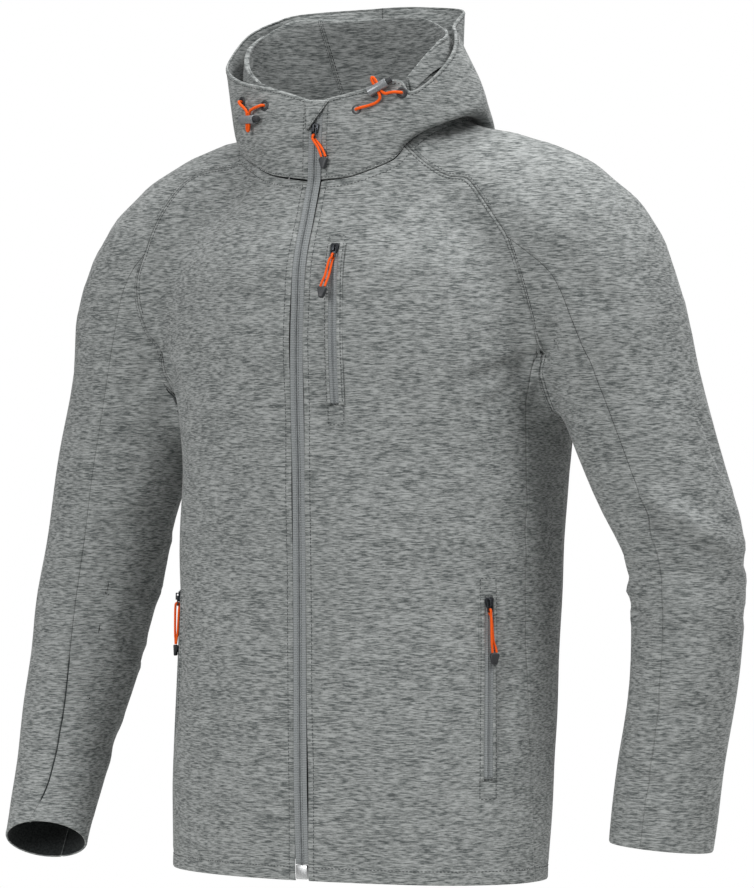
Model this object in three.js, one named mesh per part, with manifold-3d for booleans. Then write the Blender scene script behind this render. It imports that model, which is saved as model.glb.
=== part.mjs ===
// Men's hooded softshell jacket, filled out as worn, hood down, zip closed.
// Millimetres, +Z up, the wearer faces -Y and the wearer's left is +X.
// The origin is the middle of the neck base.
import * as THREE from 'three';
import { mergeVertices } from 'three/addons/utils/BufferGeometryUtils.js';
import Module from 'manifold-3d';

const wasm = await Module();
wasm.setup();

const CLOTH = 1.6; // softshell with its knitted face
const SEAM_GAP = 0.3;
const HEM_HEIGHT = -692;
const WELL_OUT = 330; // how far from the middle is outside the jacket for certain
const WELL_IN = 30; // and a y that is inside it for certain
const ZIP_HALF = 7; // half of the zip tape that shows between the fronts

const add = (a, b, k = 1) => [a[0] + b[0] * k, a[1] + b[1] * k, a[2] + b[2] * k];
const sub = (a, b) => add(a, b, -1);
const dot = (a, b) => a[0] * b[0] + a[1] * b[1] + a[2] * b[2];
const length = (a) => Math.sqrt(dot(a, a));
const unit = (a) => add([0, 0, 0], a, 1 / (length(a) || 1));
const cross = (a, b) => [
  a[1] * b[2] - a[2] * b[1],
  a[2] * b[0] - a[0] * b[2],
  a[0] * b[1] - a[1] * b[0],
];
const mix = (a, b, t) => a.map((value, i) => value + (b[i] - value) * t);
const clamp = (value, low, high) => Math.min(Math.max(value, low), high);

// A smooth row between the rows of a table, at a place counted in rows.
function smoothRow(rows, place) {
  const last = rows.length - 1;
  const i = clamp(Math.floor(place), 0, last - 1);
  const t = clamp(place - i, 0, 1);
  const [a, b, c, d] = [-1, 0, 1, 2].map((step) => rows[clamp(i + step, 0, last)]);
  return b.map((value, k) => {
    const rise = c[k] - value;
    const start = (c[k] - a[k]) / 2;
    const end = (d[k] - value) / 2;
    return value + t * (start + t * (3 * rise - 2 * start - end + t * (start + end - 2 * rise)));
  });
}

// Torso rings: height, half width, then the y of the front, of the widest line and of the back.
const TORSO = [
  [-760, 198, -108, -6, 90],
  [-692, 196, -110, -5, 92],
  [-600, 195, -114, 3, 114],
  [-450, 191, -115, 15, 143],
  [-310, 194, -117, 28, 165],
  [-240, 200, -120, 28, 167],
  [-190, 209, -121, 24, 162],
  [-150, 206, -119, 18, 154],
  [-110, 184, -115, 14, 140],
  [-60, 136, -98, 12, 112],
  [-20, 113, -85, 10, 80],
  [20, 104, -76, 6, 62],
  [60, 100, -72, 4, 56],
];
const TORSO_SQUARENESS = 2.3;

// Arm sections down each sleeve: middle x, y, z, then half width and half depth.
const LEFT_ARM = [
  [60, 20, -44, 64, 60],
  [122, 22, -62, 82, 74],
  [212, 14, -100, 84, 74],
  [250, 18, -158, 79, 69],
  [273, 26, -225, 71, 63],
  [287, 28, -268, 67, 61],
  [304, 30, -315, 62, 58],
  [325, 35, -370, 57, 55],
  [329, 38, -415, 55, 54],
  [327, 40, -460, 53, 52],
  [321, 40, -524, 50, 50],
  [311, 38, -591, 49, 48],
  [304, 36, -658, 48, 47],
  [299, 34, -722, 47, 46],
];
const RIGHT_ARM = [
  [-60, 20, -44, 64, 60],
  [-124, 22, -63, 82, 74],
  [-206, 14, -104, 84, 74],
  [-245, 18, -158, 79, 69],
  [-265, 26, -224, 74, 63],
  [-290, 30, -300, 68, 60],
  [-305, 32, -348, 64, 59],
  [-317, 32, -399, 62, 58],
  [-324, 28, -440, 60, 56],
  [-326, 14, -496, 55, 52],
  [-328, -10, -562, 49, 47],
  [-324, -45, -632, 45, 40],
  [-318, -70, -670, 43, 35],
  [-310, -106, -724, 42, 33],
];
const AXIS_STEPS = 36;
const JOIN_SOFTNESS = 26;

function armAxis(rows) {
  const points = [];
  for (let i = 0; i <= AXIS_STEPS; i++) {
    points.push(smoothRow(rows, (i / AXIS_STEPS) * (rows.length - 1)));
  }
  return points;
}
const ARM_AXES = [armAxis(LEFT_ARM), armAxis(RIGHT_ARM)];

function torsoDistance(p) {
  let i = 0;
  while (i < TORSO.length - 2 && p[2] > TORSO[i + 1][0]) i++;
  const part = clamp((p[2] - TORSO[i][0]) / (TORSO[i + 1][0] - TORSO[i][0]), 0, 1);
  const [, half, front, side, back] = smoothRow(TORSO, i + part);
  const depth = p[1] < side ? side - front : back - side;
  const n = TORSO_SQUARENESS;
  const r = (Math.abs(p[0] / half) ** n + Math.abs((p[1] - side) / depth) ** n) ** (1 / n);
  return Math.hypot(p[0], p[1] - side) * (1 - 1 / Math.max(r, 0.01));
}

function armDistance(p, axis) {
  let best = Infinity;
  let nearest = 0;
  let share = 0;
  for (let i = 0; i < axis.length - 1; i++) {
    const run = sub(axis[i + 1].slice(0, 3), axis[i]);
    const t = clamp(dot(sub(p, axis[i]), run) / dot(run, run), 0, 1);
    const away = length(sub(p, add(axis[i], run, t)));
    if (away < best) [best, nearest, share] = [away, i, t];
  }
  const section = mix(axis[nearest], axis[nearest + 1], share);
  const along = unit(sub(axis[nearest + 1].slice(0, 3), axis[nearest]));
  const depthways = unit(add([0, 1, 0], along, -along[1]));
  const across = cross(depthways, along);
  const d = sub(p, section);
  const [u, v, w] = [dot(d, across), dot(d, depthways), dot(d, along)];
  const size = Math.max(length(d), 0.01);
  const r = Math.hypot(u / section[3], v / section[4], w / section[3]);
  return size * (1 - 1 / Math.max(r, 0.01));
}

function smoothMin(a, b, softness) {
  const h = clamp(0.5 + (0.5 * (b - a)) / softness, 0, 1);
  return b + (a - b) * h - softness * h * (1 - h);
}

function field(p) {
  const arm = Math.min(armDistance(p, ARM_AXES[0]), armDistance(p, ARM_AXES[1]));
  return smoothMin(torsoDistance(p), arm, JOIN_SOFTNESS);
}

function slope(p) {
  const e = 0.5;
  return [0, 1, 2].map((k) => {
    const step = [0, 0, 0];
    step[k] = e;
    return (field(add(p, step)) - field(sub(p, step))) / (2 * e);
  });
}

// The nearest place of the cloth's outer face, and which way it faces there.
function settle(p) {
  let q = p;
  for (let i = 0; i < 40; i++) {
    const off = field(q);
    if (Math.abs(off) < 0.005) break;
    const g = slope(q);
    q = add(q, g, -clamp(off / Math.max(dot(g, g), 0.2), -8, 8));
  }
  return q;
}
const facing = (p) => unit(slope(p));

// The cloth's outer face straight before a place, given by x and z.
function onFront(x, z) {
  let outside = -WELL_OUT;
  let inside = WELL_IN;
  for (let i = 0; i < 24; i++) {
    const middle = (outside + inside) / 2;
    if (field([x, middle, z]) > 0) outside = middle;
    else inside = middle;
  }
  return [x, (outside + inside) / 2, z];
}

// The way off a seam, square to it and along the cloth.
function offSeam(normal, before, after, point, inside) {
  const way = unit(cross(normal, sub(after, before)));
  return dot(way, sub(inside, point)) < 0 ? add([0, 0, 0], way, -1) : way;
}

// A closed wall under a grid of outer points, parted from its neighbours by half a seam gap.
function clothWall(outer, normals, thickness = CLOTH, inset = SEAM_GAP / 2) {
  const rows = outer.length;
  const columns = outer[0].length;
  const drawn = outer.map((row, i) => row.map((point, j) => {
    const [last, end] = [rows - 1, columns - 1];
    const normal = normals[i][j];
    const ways = [];
    if (i === 0 || i === last) {
      const [before, after] = [row[Math.max(j - 1, 0)], row[Math.min(j + 1, end)]];
      ways.push(offSeam(normal, before, after, point, outer[i ? i - 1 : 1][j]));
    }
    if (j === 0 || j === end) {
      const [above, below] = [outer[Math.max(i - 1, 0)][j], outer[Math.min(i + 1, last)][j]];
      ways.push(offSeam(normal, above, below, point, row[j ? j - 1 : 1]));
    }
    if (ways.length === 0) return point;
    if (ways.length === 1) return add(point, ways[0], inset);
    return add(point, add(ways[0], ways[1]), inset / Math.max(1 + dot(ways[0], ways[1]), 0.02));
  }));
  const inner = drawn.map((row, i) => row.map((p, j) => add(p, normals[i][j], -thickness)));
  const points = [...drawn.flat(), ...inner.flat()];
  const quads = [];
  const at = (i, j, layer) => layer * rows * columns + i * columns + j;
  for (let i = 0; i < rows - 1; i++) {
    for (let j = 0; j < columns - 1; j++) {
      quads.push([at(i, j, 0), at(i, j + 1, 0), at(i + 1, j + 1, 0), at(i + 1, j, 0)]);
      quads.push([at(i, j, 1), at(i + 1, j, 1), at(i + 1, j + 1, 1), at(i, j + 1, 1)]);
    }
  }
  const rim = [];
  for (let j = 0; j < columns - 1; j++) rim.push([0, j]);
  for (let i = 0; i < rows - 1; i++) rim.push([i, columns - 1]);
  for (let j = columns - 1; j > 0; j--) rim.push([rows - 1, j]);
  for (let i = rows - 1; i > 0; i--) rim.push([i, 0]);
  rim.forEach(([i, j], k) => {
    const [u, v] = rim[(k + 1) % rim.length];
    quads.push([at(u, v, 0), at(i, j, 0), at(i, j, 1), at(u, v, 1)]);
  });
  return solid(points, quads);
}

// A geometry from points and four-cornered faces, turned so that its faces point out.
function solid(points, quads) {
  const triangles = quads.flatMap(([a, b, c, d]) => [[a, b, c], [a, c, d]]);
  const share = ([a, b, c]) => dot(points[a], cross(points[b], points[c]));
  const volume = triangles.reduce((sum, triangle) => sum + share(triangle), 0);
  if (volume < 0) triangles.forEach((triangle) => triangle.reverse());
  const geometry = new THREE.BufferGeometry();
  geometry.setAttribute('position', new THREE.Float32BufferAttribute(points.flat(), 3));
  geometry.setIndex(triangles.flat());
  geometry.computeVertexNormals();
  return geometry;
}

// The outer points of a panel between four seams, laid on the cloth.
function panel(left, right, top, bottom) {
  const rows = left.length - 1;
  const columns = top.length - 1;
  const grid = [];
  for (let i = 0; i <= rows; i++) {
    grid.push([]);
    for (let j = 0; j <= columns; j++) {
      const [v, u] = [i / rows, j / columns];
      let p = add(mix(left[i], right[i], u), mix(top[j], bottom[j], v));
      p = sub(p, mix(mix(top[0], top.at(-1), u), mix(bottom[0], bottom.at(-1), u), v));
      const onEdge = i === 0 || j === 0 || i === rows || j === columns;
      grid[i].push(onEdge ? p : settle(p));
    }
  }
  return grid;
}

// A panel with a line down its middle that its cloth has to follow, such as the top of a sleeve.
function guidedPanel(left, middle, right, top, bottom) {
  const half = (top.length - 1) / 2;
  const first = panel(left, middle, top.slice(0, half + 1), bottom.slice(0, half + 1));
  const second = panel(middle, right, top.slice(half), bottom.slice(half));
  return first.map((row, i) => [...row, ...second[i].slice(1)]);
}

function material(color, roughness, metalness = 0) {
  return new THREE.MeshStandardMaterial({ color, roughness, metalness, side: THREE.DoubleSide });
}
const HEATHER = material(0x85888a, 0.9);
const jacket = new THREE.Group();
function piece(name, geometry, look) {
  const mesh = new THREE.Mesh(geometry, look);
  mesh.name = name;
  jacket.add(mesh);
  return mesh;
}
function clothPiece(name, grid, inset) {
  return piece(name, clothWall(grid, grid.map((row) => row.map(facing)), CLOTH, inset), HEATHER);
}

// The neck seam and the hood at stations from the zip round the wearer's left, the back and the right:
// neck seam, lowest fold, widest line and rim, each as x, y, z.
const HOOD = [
  [7, -88.5, -33.5, 7, -88, -14, 7, -86, 14, 7, -82, 43],
  [40, -84, -30, 40, -85.5, -12, 41, -85, 17, 44, -81, 50],
  [72, -67, -16, 73, -70, -3, 76, -72, 26, 80, -70, 60],
  [82, -55, 0, 90, -61, 9, 93, -63, 28, 92, -64, 49],
  [94, -38, 15, 112, -46, 19, 113, -50, 42, 111, -49, 66],
  [103, -12, 25, 136, -14, 31, 132, -14, 58, 118, -28, 90],
  [103, 16, 31, 122, 32, 28, 118, 24, 60, 106, -4, 114],
  [88, 42, 36, 102, 78, 8, 96, 64, 50, 74, 22, 133],
  [48, 58, 39, 58, 110, -28, 58, 98, 40, 30, 36, 141],
  [0, 62, 41, -4, 122, -38, -4, 112, 38, -12, 40, 142],
  [-48, 58, 39, -66, 110, -28, -64, 98, 40, -58, 36, 141],
  [-92, 44, 34, -106, 78, 8, -104, 64, 50, -98, 22, 133],
  [-113, 18, 26, -126, 32, 26, -128, 24, 58, -124, -2, 117],
  [-118, -8, 12, -127, -10, 24, -131, -16, 54, -132, -28, 91],
  [-108, -38, -6, -116, -40, 10, -120, -45, 42, -121, -51, 77],
  [-82, -60, -16, -86, -63, -4, -90, -70, 30, -92, -71, 65],
  [-50, -81, -27, -51, -82.5, -10, -51, -83, 20, -50, -80, 56],
  [-7, -88.5, -33.5, -7, -88, -14, -7, -86, 14, -7, -82, 43],
];
const neckPoint = (place) => settle(smoothRow(HOOD, place).slice(0, 3));

// Where the neck seam passes from one piece to the next, and the pieces of each stretch.
const NECK_STOPS = [0, 3, 7, 11, 14, 17];
const NECK_PIECES = [8, 8, 12, 8, 8];
function neckRun(k) {
  const run = [];
  for (let j = 0; j <= NECK_PIECES[k]; j++) {
    run.push(NECK_STOPS[k] + ((NECK_STOPS[k + 1] - NECK_STOPS[k]) * j) / NECK_PIECES[k]);
  }
  return run;
}
const [leftFrontNeck, leftSleeveNeck, backNeck, rightSleeveNeck, rightFrontNeck] = [0, 1, 2, 3, 4]
  .map((k) => neckRun(k).map(neckPoint));

// Armhole lines from the neck seam over the front, under the arm and up the back.
const ARMHOLE_LEFT = [
  [82, -55, 0], [96, -49, -15], [120, -46, -30], [141, -47, -33], [159, -53, -50], [180, -58, -75],
  [191, -59, -90], [199, -57, -112], [205, -53, -138], [209, -46, -163], [212, -36, -188],
  [210, -8, -210], [208, 28, -220], [208, 62, -212], [210, 88, -190],
  [208, 100, -165], [203, 107, -140], [197, 111, -118], [188, 112, -95],
  [176, 110, -75], [158, 106, -52], [138, 96, -28], [112, 74, 4], [88, 42, 36],
];
const ARMHOLE_RIGHT = [
  [-108, -38, -6], [-125, -38, -14], [-150, -38, -17], [-172, -41, -24], [-190, -50, -48],
  [-202, -58, -75], [-210, -60, -97], [-219, -57, -122], [-220, -50, -148],
  [-214, -42, -172], [-206, -36, -188],
  [-206, -8, -210], [-206, 28, -220], [-206, 62, -212], [-208, 88, -190],
  [-208, 100, -165], [-204, 107, -140], [-199, 111, -118], [-190, 112, -95],
  [-178, 110, -75], [-160, 106, -52], [-140, 96, -28], [-115, 74, 4], [-92, 44, 34],
];
const ARMHOLE_STOPS = [0, 6, 10, 14, 18, 23];
const ARMHOLE_PIECES = [5, 3, 4, 3, 5];

// The front and back seams below the armhole: side panel, then sleeve.
const SIDE_FRONT = [[200, -27, -215], [193, -21, -245], [189, -17, -290], [188, -16, -370], [188, -16, -450],
  [191, -16, -550], [195, -14, -631]];
const SIDE_BACK = [[201, 82, -222], [195, 76, -290], [190, 70, -370], [186, 62, -450], [188, 50, -550],
  [189, 40, -631]];
const SIDE_PIECES = 15;
const SIDE_INSET = 0.5; // the side panels end in a sharp point, which needs more room
const ZIP_EDGE_HEIGHTS = [-60, -110, -200, -350, -520];
const HEM_FRONT_ANGLE = -3;
const HEM_BACK_ANGLE = 14;
const SLEEVE_PIECES = 18;
const SLEEVE_SEAMS = {
  left: {
    front: [[235, -57, -125], [258, -46, -180], [278, -37, -235], [300, -30, -295], [318, -23, -350],
      [328, -17, -412], [327, -13, -473], [321, -11, -540], [311, -11, -600]],
    back: [[225, 98, -125], [253, 90, -180], [276, 88, -245], [300, 88, -310], [322, 90, -370],
      [328, 92, -412], [327, 92, -473], [320, 90, -540], [310, 86, -600]],
  },
  right: {
    front: [[-233, -57, -126], [-252, -46, -180], [-270, -36, -235], [-287, -30, -300], [-300, -26, -367],
      [-311, -28, -430], [-312, -36, -490], [-310, -52, -549], [-309, -78, -612]],
    back: [[-225, 98, -125], [-250, 90, -180], [-270, 88, -245], [-290, 90, -310], [-308, 91, -370],
      [-322, 84, -430], [-330, 66, -490], [-334, 38, -550], [-332, 2, -612]],
  },
};
// Guide lines down the outside and the inside of each sleeve, for its cloth to follow.
const SLEEVE_GUIDES = {
  left: {
    outer: [[150, 20, 6], [205, 18, -16], [250, 18, -38], [286, 20, -74], [316, 24, -130],
      [344, 27, -222], [366, 30, -310], [382, 36, -385], [382, 40, -450], [371, 40, -530], [359, 38, -600]],
    inner: [[212, 30, -262], [236, 30, -310], [264, 34, -365], [274, 38, -415], [274, 40, -460],
      [271, 40, -524], [262, 38, -591]],
  },
  right: {
    outer: [[-150, 20, 5], [-202, 18, -18], [-246, 18, -42], [-282, 20, -78], [-311, 24, -134],
      [-339, 27, -222], [-359, 30, -300], [-376, 33, -385], [-384, 28, -440],
      [-382, 12, -505], [-377, -12, -570], [-369, -46, -634]],
    inner: [[-212, 30, -262], [-224, 30, -300], [-241, 32, -348], [-255, 32, -399], [-264, 28, -440],
      [-271, 14, -496], [-279, -10, -562], [-279, -44, -628]],
  },
};
const CUFF_HEIGHT = { left: -658, right: -670 };
const CUFF_LIMIT = 75; // wider than any cuff, and short of the body

// The evenly spaced points of one stretch of a line, between two of its given points.
function stretch(points, from, to, pieces) {
  const places = [];
  const reach = [0];
  const steps = 12 * (to - from);
  for (let i = 0; i <= steps; i++) {
    places.push(smoothRow(points, from + i / 12));
    if (i) reach.push(reach[i - 1] + length(sub(places[i], places[i - 1])));
  }
  const result = [];
  for (let j = 0; j <= pieces; j++) {
    const target = (reach.at(-1) * j) / pieces;
    let i = 0;
    while (i < steps - 1 && reach[i + 1] < target) i++;
    const share = (target - reach[i]) / (reach[i + 1] - reach[i] || 1);
    result.push(settle(mix(places[i], places[i + 1], share)));
  }
  return result;
}
const line = (points, pieces) => stretch(points, 0, points.length - 1, pieces);

// The outermost place of the cloth from a middle point in one direction.
function outwards(middle, direction, limit) {
  let [inside, outside] = [0, limit];
  for (let i = 0; i < 26; i++) {
    const reach = (inside + outside) / 2;
    if (field(add(middle, direction, reach)) < 0) inside = reach;
    else outside = reach;
  }
  return add(middle, direction, inside);
}
const RADIAN = Math.PI / 180;
const HEM_MIDDLE = 0;
function hemPoint(angle) {
  const direction = [Math.cos(angle * RADIAN), Math.sin(angle * RADIAN), 0];
  return outwards([0, HEM_MIDDLE, HEM_HEIGHT], direction, WELL_OUT);
}
function hemRun(from, to, pieces) {
  const run = [];
  for (let j = 0; j <= pieces; j++) run.push(hemPoint(from + ((to - from) * j) / pieces));
  return run;
}

// A place of the cuff's edge: 0 degrees is the outside of the arm, 90 the back.
function cuffPoint(side, angle) {
  const axis = ARM_AXES[side === 'left' ? 0 : 1];
  let i = 1;
  while (i < axis.length - 2 && axis[i + 1][2] > CUFF_HEIGHT[side]) i++;
  const run = sub(axis[i + 1], axis[i]);
  const middle = add(axis[i], run, (CUFF_HEIGHT[side] - axis[i][2]) / run[2]).slice(0, 3);
  const along = unit(run.slice(0, 3));
  const sign = side === 'left' ? 1 : -1;
  const outer = unit(add([sign, 0, 0], along, -sign * along[0]));
  const back = unit(sub(add([0, 1, 0], along, -along[1]), add([0, 0, 0], outer, outer[1])));
  const direction = add(add([0, 0, 0], outer, Math.cos(angle * RADIAN)), back, Math.sin(angle * RADIAN));
  return outwards(middle, direction, CUFF_LIMIT);
}
function cuffRun(side, from, to, pieces) {
  const run = [];
  for (let j = 0; j <= pieces; j++) run.push(cuffPoint(side, from + ((to - from) * j) / pieces));
  return run;
}

function bodySide(side) {
  const left = side === 'left';
  const sign = left ? 1 : -1;
  const flip = (points) => points.map(([x, y, z]) => [x * sign, y, z]);
  const armhole = left ? ARMHOLE_LEFT : ARMHOLE_RIGHT;
  const arcs = ARMHOLE_PIECES.map((count, k) => {
    return stretch(armhole, ARMHOLE_STOPS[k], ARMHOLE_STOPS[k + 1], count);
  });
  const angle = (value) => (left ? value : 180 - value);
  const frontNeck = left ? leftFrontNeck : rightFrontNeck.toReversed();
  const sleeveNeck = left ? leftSleeveNeck : rightSleeveNeck.toReversed();
  arcs[0][0] = frontNeck.at(-1);
  arcs[4][arcs[4].length - 1] = sleeveNeck.at(-1);

  const zipEdge = onFront(ZIP_HALF * sign, HEM_HEIGHT);
  const zipAngle = Math.atan2(zipEdge[1] - HEM_MIDDLE, ZIP_HALF) / RADIAN;
  const hem = hemRun(angle(zipAngle), angle(HEM_FRONT_ANGLE), 8);
  const zipSide = ZIP_EDGE_HEIGHTS.map((z) => onFront(ZIP_HALF * sign, z));
  const middlePieces = ARMHOLE_PIECES[0] + ARMHOLE_PIECES[1] + SIDE_PIECES;
  const middle = line([frontNeck[0], ...zipSide, hem[0]], middlePieces);
  const sideFront = line([arcs[1].at(-1), ...flip(SIDE_FRONT), hem.at(-1)], SIDE_PIECES);
  const outside = [...arcs[0], ...arcs[1].slice(1), ...sideFront.slice(1)];
  clothPiece(`front_${side}`, panel(middle, outside, frontNeck, hem));

  const sideHem = hemRun(angle(HEM_FRONT_ANGLE), angle(HEM_BACK_ANGLE), 4);
  const sideBack = line([arcs[3][0], ...flip(SIDE_BACK), sideHem.at(-1)], SIDE_PIECES);
  clothPiece(`side_${side}`, panel(sideFront, sideBack, arcs[2], sideHem), SIDE_INSET);

  const seams = SLEEVE_SEAMS[side];
  const front = line([arcs[0].at(-1), ...seams.front, cuffPoint(side, -90)], SLEEVE_PIECES);
  const back = line([arcs[4][0], ...seams.back, cuffPoint(side, 90)], SLEEVE_PIECES);
  const outerFront = [...arcs[0], ...front.slice(1)];
  const outerBack = [...arcs[4].toReversed(), ...back.slice(1)];
  const guides = SLEEVE_GUIDES[side];
  const outer = line([sleeveNeck[4], ...guides.outer, cuffPoint(side, 0)], outerFront.length - 1);
  const upperCuff = cuffRun(side, -90, 90, NECK_PIECES[1]);
  clothPiece(`sleeve_upper_${side}`, guidedPanel(outerFront, outer, outerBack, sleeveNeck, upperCuff));
  const under = [...arcs[1], ...arcs[2].slice(1), ...arcs[3].slice(1)];
  const inner = line([under[(under.length - 1) / 2], ...guides.inner, cuffPoint(side, 180)], SLEEVE_PIECES);
  const underCuff = cuffRun(side, -90, -270, under.length - 1);
  clothPiece(`sleeve_under_${side}`, guidedPanel(front, inner, back, under, underCuff));
  return [...arcs[4].toReversed(), ...arcs[3].toReversed().slice(1), ...sideBack.slice(1)];
}
const leftBackEdge = bodySide('left');
const rightBackEdge = bodySide('right');
const backHem = hemRun(HEM_BACK_ANGLE, 180 - HEM_BACK_ANGLE, NECK_PIECES[2]);
clothPiece('back', panel(leftBackEdge, rightBackEdge, backNeck, backHem));

// The way each place of a grid of points faces, to the right of its rows and up.
function gridFacing(grid) {
  const [rows, columns] = [grid.length, grid[0].length];
  return grid.map((row, i) => row.map((_, j) => {
    const acrossRow = sub(row[Math.min(j + 1, columns - 1)], row[Math.max(j - 1, 0)]);
    const upColumn = sub(grid[Math.min(i + 1, rows - 1)][j], grid[Math.max(i - 1, 0)][j]);
    return unit(cross(acrossRow, upColumn));
  }));
}
function gridPiece(name, grid, look = HEATHER, thickness = CLOTH) {
  return piece(name, clothWall(grid, gridFacing(grid), thickness), look);
}
function seamedPieces(firstName, secondName, grid, seamColumn, inset) {
  const normals = gridFacing(grid);
  const part = (rows, from, to) => rows.map((row) => row.slice(from, to));
  const wall = (from, to) => clothWall(part(grid, from, to), part(normals, from, to), CLOTH, inset);
  piece(firstName, wall(0, seamColumn + 1), HEATHER);
  piece(secondName, wall(seamColumn), HEATHER);
}

// The hood's outer wall: place counts round the neck, rise goes from the neck seam 0 to the rim 3.
const HOOD_CLEARANCE = 5;
function hoodPoint(place, rise) {
  if (rise === 0) return neckPoint(place);
  const row = smoothRow(HOOD, place);
  const p = smoothRow([neckPoint(place), row.slice(3, 6), row.slice(6, 9), row.slice(9, 12)], rise);
  const short = HOOD_CLEARANCE * Math.min(rise, 1) - field(p);
  return short > 0 ? add(p, facing(p), short) : p;
}
const HOOD_SEAM = 9;
const HOOD_ROWS = 9;
function hoodWall(places) {
  const grid = [];
  for (let i = 0; i <= HOOD_ROWS; i++) {
    const rise = (3 * i) / HOOD_ROWS;
    grid.push(places.map((place) => hoodPoint(place, rise)));
  }
  return grid;
}
const hoodPlaces = [0, 1, 2, 3, 4].flatMap((k) => neckRun(k).slice(k ? 1 : 0));
seamedPieces('hood_side_left', 'hood_side_right', hoodWall(hoodPlaces), hoodPlaces.indexOf(HOOD_SEAM));

// The hood's inner fold at the nape, from station 3 to 16: its ridge, then its lip, each as x, y, z.
const FOLD = [
  [84, -60, 58, 88, -57, 48],
  [98, -38, 88, 103, -37, 70],
  [99, -10, 104, 110, -6, 80],
  [76, 8, 118, 92, 26, 88],
  [48, 18, 126, 60, 48, 84],
  [12, 24, 127, 18, 58, 80],
  [-28, 26, 126, -28, 60, 78],
  [-58, 22, 127, -66, 54, 82],
  [-84, 12, 126, -98, 38, 86],
  [-103, -3, 114, -116, 16, 84],
  [-110, -24, 98, -118, -18, 74],
  [-104, -38, 80, -110, -38, 66],
  [-80, -60, 62, -84, -60, 54],
  [-43, -74, 48, -46, -74, 40],
];
const FOLD_START = 3;
const FOLD_PIECES = 26;
const FOLD_SEAM_COLUMN = 12;
const FOLD_INSET = 0.4;
const FOLD_END = 16;
const FOLD_ROWS = 9;
const FOLD_FOOT_IN = 4.2;
function foldPoint(place, rise) {
  const foot = neckPoint(place);
  const inward = unit([-foot[0], -foot[1] - 10, 0]);
  const start = add(add(foot, inward, FOLD_FOOT_IN), [0, 0, 1.2]);
  const row = smoothRow(FOLD, place - FOLD_START);
  const [ridge, lip] = [row.slice(0, 3), row.slice(3, 6)];
  const half = add(mix(start, ridge, 0.5), inward, -3);
  const over = add(mix(ridge, lip, 0.45), [0, 0, 6]);
  return smoothRow([start, half, ridge, over, lip], rise);
}
const foldGrid = [];
for (let i = 0; i <= FOLD_ROWS; i++) {
  foldGrid.push([]);
  for (let j = 0; j <= FOLD_PIECES; j++) {
    const place = FOLD_END + ((FOLD_START - FOLD_END) * j) / FOLD_PIECES;
    foldGrid[i].push(foldPoint(place, (4 * i) / FOLD_ROWS));
  }
}
seamedPieces('hood_fold_right', 'hood_fold_left', foldGrid, FOLD_SEAM_COLUMN, FOLD_INSET);

const TAPE = material(0x5f6366, 0.85);
const PLASTIC = material(0x2a2b2d, 0.55);
const METAL = material(0x8f9295, 0.35, 0.85);
const ORANGE = material(0xf4570f, 0.75);

// Joining and cutting of plain solids.
function toSolid(geometry) {
  const plain = geometry.index ? geometry.toNonIndexed() : geometry.clone();
  plain.deleteAttribute('normal');
  plain.deleteAttribute('uv');
  const merged = mergeVertices(plain, 1e-3);
  const vertProperties = new Float32Array(merged.attributes.position.array);
  const triVerts = new Uint32Array(merged.index.array);
  return new wasm.Manifold(new wasm.Mesh({ numProp: 3, vertProperties, triVerts }));
}
function toGeometry(solidBody) {
  const mesh = solidBody.getMesh();
  const geometry = new THREE.BufferGeometry();
  const positions = new THREE.Float32BufferAttribute(Array.from(mesh.vertProperties), mesh.numProp);
  geometry.setAttribute('position', positions);
  geometry.setIndex(Array.from(mesh.triVerts));
  geometry.computeVertexNormals();
  return geometry;
}
function box(low, high) {
  const size = sub(high, low);
  const middle = mix(low, high, 0.5);
  return new THREE.BoxGeometry(...size).translate(...middle);
}
function plate(points, from, to, holes = []) {
  const shape = new THREE.Shape(points.map(([x, y]) => new THREE.Vector2(x, y)));
  for (const hole of holes) shape.holes.push(new THREE.Path(hole.map(([x, y]) => new THREE.Vector2(x, y))));
  const settings = { depth: to - from, bevelEnabled: false };
  return new THREE.ExtrudeGeometry(shape, settings).translate(0, 0, from);
}
// A rectangle with its corners cut or rounded, as points.
function rounded(left, bottom, right, top, radius, steps = 3) {
  const corners = [[right, top, 0], [left, top, 90], [left, bottom, 180], [right, bottom, 270]];
  return corners.flatMap(([x, y, start]) => {
    const inX = Math.sign(x - (left + right) / 2) * radius;
    const inY = Math.sign(y - (bottom + top) / 2) * radius;
    const points = [];
    for (let i = 0; i <= steps; i++) {
      const angle = (start + (90 * i) / steps) * RADIAN;
      points.push([x - inX + radius * Math.cos(angle), y - inY + radius * Math.sin(angle)]);
    }
    return points;
  });
}

// A frame on the part: its place, then the ways across, up and out.
function frameAt(place, up, out) {
  const outward = unit(out);
  const upward = unit(add(up, outward, -dot(up, outward)));
  return { place, across: cross(upward, outward), up: upward, out: outward };
}
const inFrame = (frame, [x, y, z]) => add(add(add(frame.place, frame.across, x), frame.up, y), frame.out, z);
function set(name, geometry, look, frame) {
  const ways = [frame.across, frame.up, frame.out].map((v) => new THREE.Vector3(...v));
  geometry.applyMatrix4(new THREE.Matrix4().makeBasis(...ways).setPosition(...frame.place));
  return piece(name, geometry, look);
}
const CORD_SIDES = 8;
function cord(name, points, radius, steps) {
  const knots = points.map((p) => new THREE.Vector3(...p));
  const extrudePath = new THREE.CatmullRomCurve3(knots, false, 'centripetal');
  const circle = [];
  for (let i = 0; i < CORD_SIDES; i++) {
    const angle = (i / CORD_SIDES) * 2 * Math.PI;
    circle.push(new THREE.Vector2(radius * Math.cos(angle), radius * Math.sin(angle)));
  }
  const settings = { steps, extrudePath, bevelEnabled: false };
  return piece(name, new THREE.ExtrudeGeometry(new THREE.Shape(circle), settings), ORANGE);
}

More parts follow.
